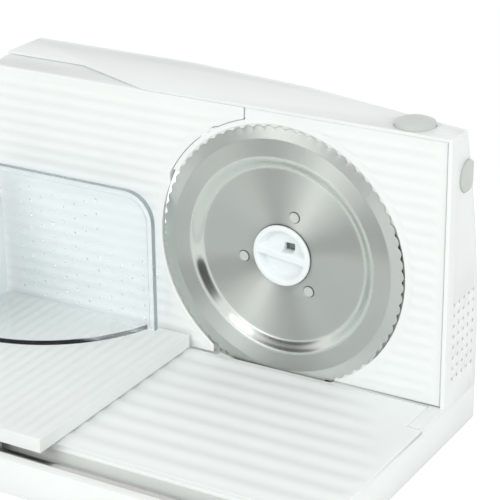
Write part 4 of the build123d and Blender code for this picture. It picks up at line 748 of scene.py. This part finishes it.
def panel_set_back(points):
    """The panel's border goes back by the edge's radius, and its foot down to the new outline."""
    x, y, z = points.T.copy()
    return np.stack([x, np.maximum(y, PANEL_FRONT + EDGE), np.where(z < CAD_FOOT, PLATE_LOW, z)], -1)


panel_mesh = open_moulding("front_panel", lambda centres, normals: centres[:, 1] < PANEL_FRONT + 0.05,
                           panel_set_back, [front_panel_face(), guard_face()])
dress("front_panel_ribbed", panel_mesh, white_shell, "housing", "front_panel")

# %% [markdown]
# ## The table
# The table's ribs run along the blade and fade towards the housing's arm, which the table steps round.

# %% Table
TABLE_LEFT, TABLE_INNER, TABLE_RIGHT = -220.7, 104.2, 113.7
TABLE_FRONT, TABLE_BACK, ARM_FRONT, TABLE_TOP = -150.0, -0.9, -30.3, 30.0
TABLE_RIBS, TABLE_RIB_HEIGHT, TABLE_FADE = (-139.4, 16.65, 9), 0.75, (66.0, 90.0)


def table_face():
    """Rows of constant depth to the table's right edge, which steps in beside the housing's arm. Height is
    the ribs less the drop of the outline; the ribs fade out towards the right."""
    y = np.concatenate([edge_samples(TABLE_FRONT, ARM_FRONT, 1.2),
                        edge_samples(ARM_FRONT + 1e-3, TABLE_BACK, 1.2)])
    x = np.concatenate([edge_samples(TABLE_LEFT, TABLE_INNER, 3.0),
                        edge_samples(TABLE_INNER + 0.2, TABLE_RIGHT, 2.0)])
    end = np.where(y > ARM_FRONT, TABLE_INNER, TABLE_RIGHT)[:, None]
    x = np.minimum(x[None, :], end)
    y = y[:, None] + 0 * x
    in_front = ARM_FRONT - y
    corner = np.hypot(np.clip(x - TABLE_INNER, None, 0), np.clip(in_front, 0, None))
    to_arm = np.where(x > TABLE_INNER, np.abs(in_front), corner)
    to_side = least(x - TABLE_LEFT, end - x, y - TABLE_FRONT, TABLE_BACK - y)
    to_side = np.minimum(to_side, np.where((x > TABLE_INNER) | (in_front < 0), to_arm, 99.0))
    to_side = np.where(in_front < 0, np.minimum(to_side, TABLE_INNER - x), to_side)
    fade = smooth_step(to_side, 1.5, 5.0) * (1 - smooth_step(x - 0.6 * in_front, *TABLE_FADE))
    z = TABLE_TOP - edge_drop(np.maximum(to_side, 0)) + TABLE_RIB_HEIGHT * wave(y, *TABLE_RIBS) * fade
    return np.stack([x, y, z], -1)


def table_set_back(points):
    """The table's top border goes down by the edge's radius, and its back edge close to the blade."""
    x, y, z = points.T.copy()
    return np.stack([x, np.where(y > -1.7, TABLE_BACK, y), np.minimum(z, TABLE_TOP - EDGE)], -1)


table_mesh = open_moulding("lower_table", lambda centres, normals: centres[:, 2] > TABLE_TOP - 0.05,
                           table_set_back, [table_face()])
dress("lower_table_ribbed", table_mesh, table_white_painted_light, "housing", "lower_table")

# %% [markdown]
# ## The carriage
# The sliding table over it is a plain rectangle beside its fence, with ribs that run towards the blade.

# %% Carriage
DECK_LEFT, DECK_RIGHT, DECK_FRONT, DECK_BACK, DECK_TOP = -210.6, -66.0, -166.0, -2.2, 40.0
DECK_RIBS, DECK_RIB_HEIGHT, DECK_BAND = (-203.8, 8.19, 17), 0.5, 1.5


def deck_face():
    """Rows along the blade. Height is the ribs less the drop of the outline, and the ribs fade near it."""
    x = edge_samples(DECK_LEFT, DECK_RIGHT, 0.9)[None, :]
    y = edge_samples(DECK_FRONT, DECK_BACK, 3.0)[:, None]
    x, y = x + 0 * y, y + 0 * x
    to_side = least(x - DECK_LEFT, DECK_RIGHT - x, y - DECK_FRONT, DECK_BACK - y)
    fade = smooth_step(to_side, 1.5, 5.0)
    z = DECK_TOP - edge_drop(to_side) + DECK_RIB_HEIGHT * wave(x, *DECK_RIBS) * fade
    return np.stack([x, y, z], -1)


def deck_set_back(points):
    """The deck's top border goes down by the edge's radius, as far as the fence."""
    x, y, z = points.T.copy()
    on_top = (x > DECK_LEFT - 0.3) & (z > DECK_TOP - 0.1) & (z < DECK_TOP + DECK_BAND)
    return np.stack([x, y, np.where(on_top, DECK_TOP - EDGE, z)], -1)


def is_deck(centres, normals):
    """The deck's top with its ribs, right of the fence."""
    x, _, z = centres.T
    return (z > DECK_TOP - 0.05) & (z < DECK_TOP + DECK_BAND) & (x > DECK_LEFT) & (normals[:, 2] > 0.05)


deck_mesh = open_moulding("carriage", is_deck, deck_set_back, [deck_face()])
dress("carriage_ribbed", deck_mesh, deck_white_painted_shade, "carriage", "carriage")

# %% [markdown]
# ## The top button
# The button on top is a low dome with an oval hollow for the fingertip. The dome is a cap of a sphere, and
# the hollow is taken off it with the same soft step as above.

# %% Top button
BUTTON_RADIUS, BUTTON_DOME, HOLLOW_LONG, HOLLOW_WIDE, HOLLOW_DEEP = 12.3, 2.2, 8.0, 6.0, 0.9
BUTTON_SKIRT = np.array([[12.28, 0.15], [12.25, 4.0]])
button_low, button_high = (np.array(corner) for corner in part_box("top_button"))
button_x, button_y = ((button_low + button_high) / 2 - blade_centre)[:2] / MM
BUTTON_RIM = button_high[2] / MM - BUTTON_DOME


def button_cap():
    """Rings and spokes: the height of a sphere's cap over the rim, less a hollow whose edge is an ellipse,
    scaled so that its highest point is the solid's, and then a skirt that goes down just inside the side."""
    ring = np.concatenate([np.linspace(0.01, 10.5, 40), np.linspace(10.8, BUTTON_RADIUS, 8)])[:, None]
    angle = np.linspace(0, 2 * math.pi, 96, endpoint=False)[None, :]
    sphere = (BUTTON_RADIUS ** 2 + BUTTON_DOME ** 2) / (2 * BUTTON_DOME)
    x, y = ring * np.cos(angle), ring * np.sin(angle)
    inside = 1 - smooth_step(np.hypot(x / HOLLOW_LONG, y / HOLLOW_WIDE), 0.45, 1.0)
    rise = BUTTON_DOME - sphere + np.sqrt(sphere ** 2 - ring ** 2) - HOLLOW_DEEP * inside
    z = BUTTON_RIM + rise * BUTTON_DOME / rise.max()
    skirt, drop = BUTTON_SKIRT[:, :1], BUTTON_SKIRT[:, 1:]
    x, y = np.concatenate([x, skirt * np.cos(angle)]), np.concatenate([y, skirt * np.sin(angle)])
    z = np.concatenate([z, BUTTON_RIM - drop + 0 * angle])
    points = np.stack([button_x + x, button_y + y, z], -1)
    return np.concatenate([points, points[:, :1]], 1)[:, ::-1]


button_mesh = open_moulding("top_button", lambda centres, normals: centres[:, 2] > BUTTON_RIM + 0.01,
                            lambda points: points, [button_cap()])
dress("top_button_domed", button_mesh, grey_button, "top_button", "top_button")

# %% [markdown]
# ## Softened mouldings
# A moulded edge is never sharp: it is rounded by a few tenths of a millimetre, and that thin rounding is what
# catches the light and draws the outline. The big mouldings are taken over from the CAD model, their loose
# triangles joined and merged into flat faces, and a Bevel modifier rounds each sharp edge.

# %% Softened mouldings
FLAT_ANGLE, BEVEL_ANGLE = math.radians(0.4), math.radians(35)


def softened(node, width_mm, material, body):
    """A joined copy of a CAD node with its sharp edges rounded, in place of the node."""
    mesh = rejoin(nodes[node].data.copy(), LOOSE, lambda work: bmesh.ops.dissolve_limit(
        work, angle_limit=FLAT_ANGLE, verts=work.verts, edges=work.edges))
    mesh.polygons.foreach_set("use_smooth", np.ones(len(mesh.polygons), bool))
    thing = dress(node + "_soft", mesh, material, body, node)
    bevel = thing.modifiers.new("edge_rounding", "BEVEL")
    bevel.width = width_mm * MM
    bevel.segments = 2
    bevel.limit_method = "ANGLE"
    bevel.angle_limit = BEVEL_ANGLE
    bevel.harden_normals = True


for node, width, material, slot_name, body in (
    ("main_housing", 0.6, white_shell, "white_shell", "housing"),
    ("rear_cover", 0.5, white_shell, "white_shell", "housing"),
    ("base_frame", 0.6, white_shell, "white_shell", "housing"),
    ("side_button", 0.6, grey_button, "grey_button", "side_button"),
):
    softened(node, width, material, body)

# %% [markdown]
# ## The clear pusher
# The pusher keeps its CAD shape. Its outer edge takes in light that runs down inside the wall and never comes
# out, so it looks black in a path tracer. On the real moulding that edge looks a soft blue grey, so the faces
# round the outline get a slightly matt, partly clear version of the plastic whose blue grey colour is painted
# shade. The wall is a little hazy, and the foot is quite clear, with a dark edge.

# %% Pusher with matt edges
WALL_DEPTH, RIM_DEPTH, CORNER, RIM, FOOT_HEIGHT, NEAR = 11.3, 10.1, 20.5, 3.6, 4.0, 0.1
pusher_mesh = rejoin(nodes["pusher"].data.copy(), LOOSE)
pusher_low, pusher_high = (np.array(corner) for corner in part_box("pusher"))
centres, normals = vectors(pusher_mesh.polygons, "center"), vectors(pusher_mesh.polygons, "normal")
before_blade = (blade_centre[1] - centres[:, 1]) / MM
from_right, _, from_top = (pusher_high - centres).T / MM
corner = (from_top < CORNER) & (from_right < CORNER)
upright = np.abs(normals[:, 1]) < 0.3
outwards = upright & (normals[:, 0] > -0.05) & (normals[:, 2] > -0.05)
inwards = upright & (normals[:, 0] < 0.05) & (normals[:, 2] < 0.05)
at_outline = (from_top < NEAR) | (from_right < NEAR) | corner
at_rim = (np.abs(from_top - RIM) < NEAR) | (np.abs(from_right - RIM) < NEAR) | corner
inwards = inwards & (before_blade > RIM_DEPTH)
# These faces get the edge plastic, whose blue grey is painted shade.
matt = (before_blade < WALL_DEPTH) & ((outwards & at_outline) | (inwards & at_rim))
in_foot = ((centres[:, 2] - pusher_low[2]) / MM < FOOT_HEIGHT) & (before_blade > WALL_DEPTH)
dress("pusher_clear", pusher_mesh, clear_san, "pusher", "pusher")
pusher_mesh.materials.append(san_edge_shade)
pusher_mesh.materials.append(san_foot)
pusher_mesh.polygons.foreach_set("material_index", (matt + 2 * in_foot).astype(np.int32))
print("matt edge faces", int(matt.sum()))

# %% [markdown]
# ## Finishes for the solids
# The pieces that need no new surface keep their CAD mesh and get the finish of the real piece.

# %% Finish every solid
finishes = [
    (white_shell, ["pusher_grip"]),
    (white_inner, ["bottom_plate", "slide_frame", "motor_end_cap", "carriage_runner", "board_bracket"]),
    (grey_button, ["thickness_dial"]),
    (rivet_steel, ["blade_rivets"]),
    (bright_steel, ["housing_screws", "base_screws", "motor_screws", "dial_screw", "guide_rods",
                    "slide_rod", "blade_axle", "motor_shaft", "worm", "axle_washer"]),
    (gear_plastic, ["blade_gear", "dial_cam", "cam_follower"]),
    (bronze, ["blade_bush", "shaft_bushes", "guide_bushes"]),
    (rubber, ["feet", "cord_bush"]),
    (cast_alloy, ["drive_frame"]),
    (sheet_steel, ["motor_can"]),
    (ferrite, ["motor_magnets"]),
    (copper, ["motor_rotor"]),
    (carbon, ["carbon_brushes"]),
    (black_plastic, ["cooling_fan", "top_switch", "side_switch"]),
    (board_green, ["circuit_board"]),
]
for material, names in finishes:
    for name in names:
        mesh = nodes[name].data
        mesh.materials.clear()
        mesh.materials.append(material)
print("finishes", sum(len(names) for _, names in finishes))

# %% [markdown]
# ## The button springs
# Each spring stands behind a button that goes in by 3 mm. A copy of the CAD coil takes its place.

# %% Springs
for button, axis in (("top_button", 2), ("side_button", 0)):
    spring = button + "_spring"
    coil = dress(spring + "_coil", nodes[spring].data.copy(), spring_wire, "housing", spring)
    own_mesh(coil)

# %% [markdown]
# ## The studio
# The photograph is a catalogue picture: pure white all round, with light so broad that hardly any shadow is
# left. Two lamps of one strength stand in front and at the right, and a weak one above, and give the faces
# their slight difference.

# %% Lamps
LAMP_SIZE, TOP_SIZE, AIM_HEIGHT = 1.2, 1.4, 0.08


def lamp(name, place, aim, size, power):
    """A square area lamp at a place, turned to its aim. Its mirror image is left to the studio world."""
    light = bpy.data.lights.new(name, "AREA")
    light.size = size
    light.energy = power
    thing = bpy.data.objects.new(name, light)
    scene.collection.objects.link(thing)
    place, aim = Vector(place), Vector(aim)
    turn = (aim - place).to_track_quat("-Z", "Y").to_matrix().to_4x4()
    thing.matrix_world = Matrix.Translation(place) @ turn
    thing.visible_glossy = False


middle = ((cad_low[0] + cad_high[0]) / 2, (cad_low[1] + cad_high[1]) / 2, AIM_HEIGHT)
lamp("key_front", (-0.7, -2.0, 1.2), middle, LAMP_SIZE, 17.0)
lamp("fill_right", (2.0, -0.9, 0.9), middle, LAMP_SIZE, 17.0)
lamp("top_soft", (0.1, 0.3, 1.9), middle, TOP_SIZE, 0.8)
print("lamps aimed at", middle)

# %% [markdown]
# ## The room
# Camera rays see the world as white, and diffuse rays get a little less. Turned steel shows the room as a
# mirror does, so for its rays the world is a studio: white walls, two soft boxes in front and two dark flags
# beside them. Each is a round patch: its direction, its inner and outer radius in degrees, and how much light
# it adds or takes.

# %% World
DIFFUSE_LEVEL, WHITE = 0.72, linear("#FFFFFF")
world = bpy.data.worlds.new("white_studio")
world.use_nodes = True
scene.world = world
tree = world.node_tree
tree.nodes.clear()
way = add(tree, "ShaderNodeTexCoord").outputs["Generated"]
studio = add(tree, "ShaderNodeValue")
studio.outputs[0].default_value = 1.0
room = studio.outputs[0]
for centre, inner, outer, change in (
    ((0.13, -0.74, 0.66), 7, 14, 1.6),
    ((-0.30, -0.955, 0.04), 5, 12, 1.4),
    ((-0.50, -0.75, 0.42), 12, 24, -0.97),
    ((0.62, -0.77, -0.02), 18, 30, -0.97),
):
    toward = add(tree, "ShaderNodeVectorMath", [(0, way), (1, tuple(Vector(centre).normalized()))],
                 operation="DOT_PRODUCT")
    patch = add(tree, "ShaderNodeMapRange", [("Value", toward.outputs["Value"])],
                interpolation_type="SMOOTHSTEP", From_Min=math.cos(math.radians(outer)),
                From_Max=math.cos(math.radians(inner)), To_Min=0.0, To_Max=change)
    room = add(tree, "ShaderNodeMath", [(0, room), (1, patch.outputs["Result"])], operation="ADD").outputs[0]
path = add(tree, "ShaderNodeLightPath").outputs
mirrored = add(tree, "ShaderNodeMix", [(0, path["Is Glossy Ray"]), (3, room)], A=DIFFUSE_LEVEL)
seen = add(tree, "ShaderNodeMath", [(0, path["Is Camera Ray"]), (1, path["Is Transmission Ray"])],
           operation="MAXIMUM")
level = add(tree, "ShaderNodeMix", [(0, seen.outputs[0]), (2, mirrored.outputs[0])], B=1.0)
sky = add(tree, "ShaderNodeBackground", [("Strength", level.outputs[0])], Color=WHITE)
add(tree, "ShaderNodeOutputWorld", [("Surface", sky.outputs["Background"])])
print("world made, diffuse level", DIFFUSE_LEVEL)

# %% [markdown]
# ## The floor
# A sheet of white paper carries the soft shadow under the slicer. It isn't endless, so that steel can see the
# room past its edge, and camera rays see it glow up to white.

# %% Floor
PAPER, PAPER_GLOW = 0.5, 0.6
floor_mesh = bpy.data.meshes.new("studio_floor")
floor_mesh.from_pydata([(-PAPER, -PAPER, 0), (PAPER, -PAPER, 0), (PAPER, PAPER, 0), (-PAPER, PAPER, 0)], [],
                       [(0, 1, 2, 3)])
floor = bpy.data.objects.new("studio_floor", floor_mesh)
scene.collection.objects.link(floor)
paper, tree, shader = new_material("studio_paper")
set_shader(shader, Base_Color=linear("#F4F4F4"), Roughness=0.8)
path = add(tree, "ShaderNodeLightPath").outputs
glow = add(tree, "ShaderNodeEmission", Color=WHITE, Strength=PAPER_GLOW)
lit = add(tree, "ShaderNodeAddShader", [(0, shader.outputs["BSDF"]), (1, glow.outputs["Emission"])])
seen = add(tree, "ShaderNodeMixShader", [("Fac", path["Is Camera Ray"]), (1, shader.outputs["BSDF"]),
                                         (2, lit.outputs["Shader"])])
feed(tree, "Surface", seen.outputs["Shader"])
floor_mesh.materials.append(paper)
floor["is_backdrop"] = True
print("floor", 2 * PAPER, "m wide")
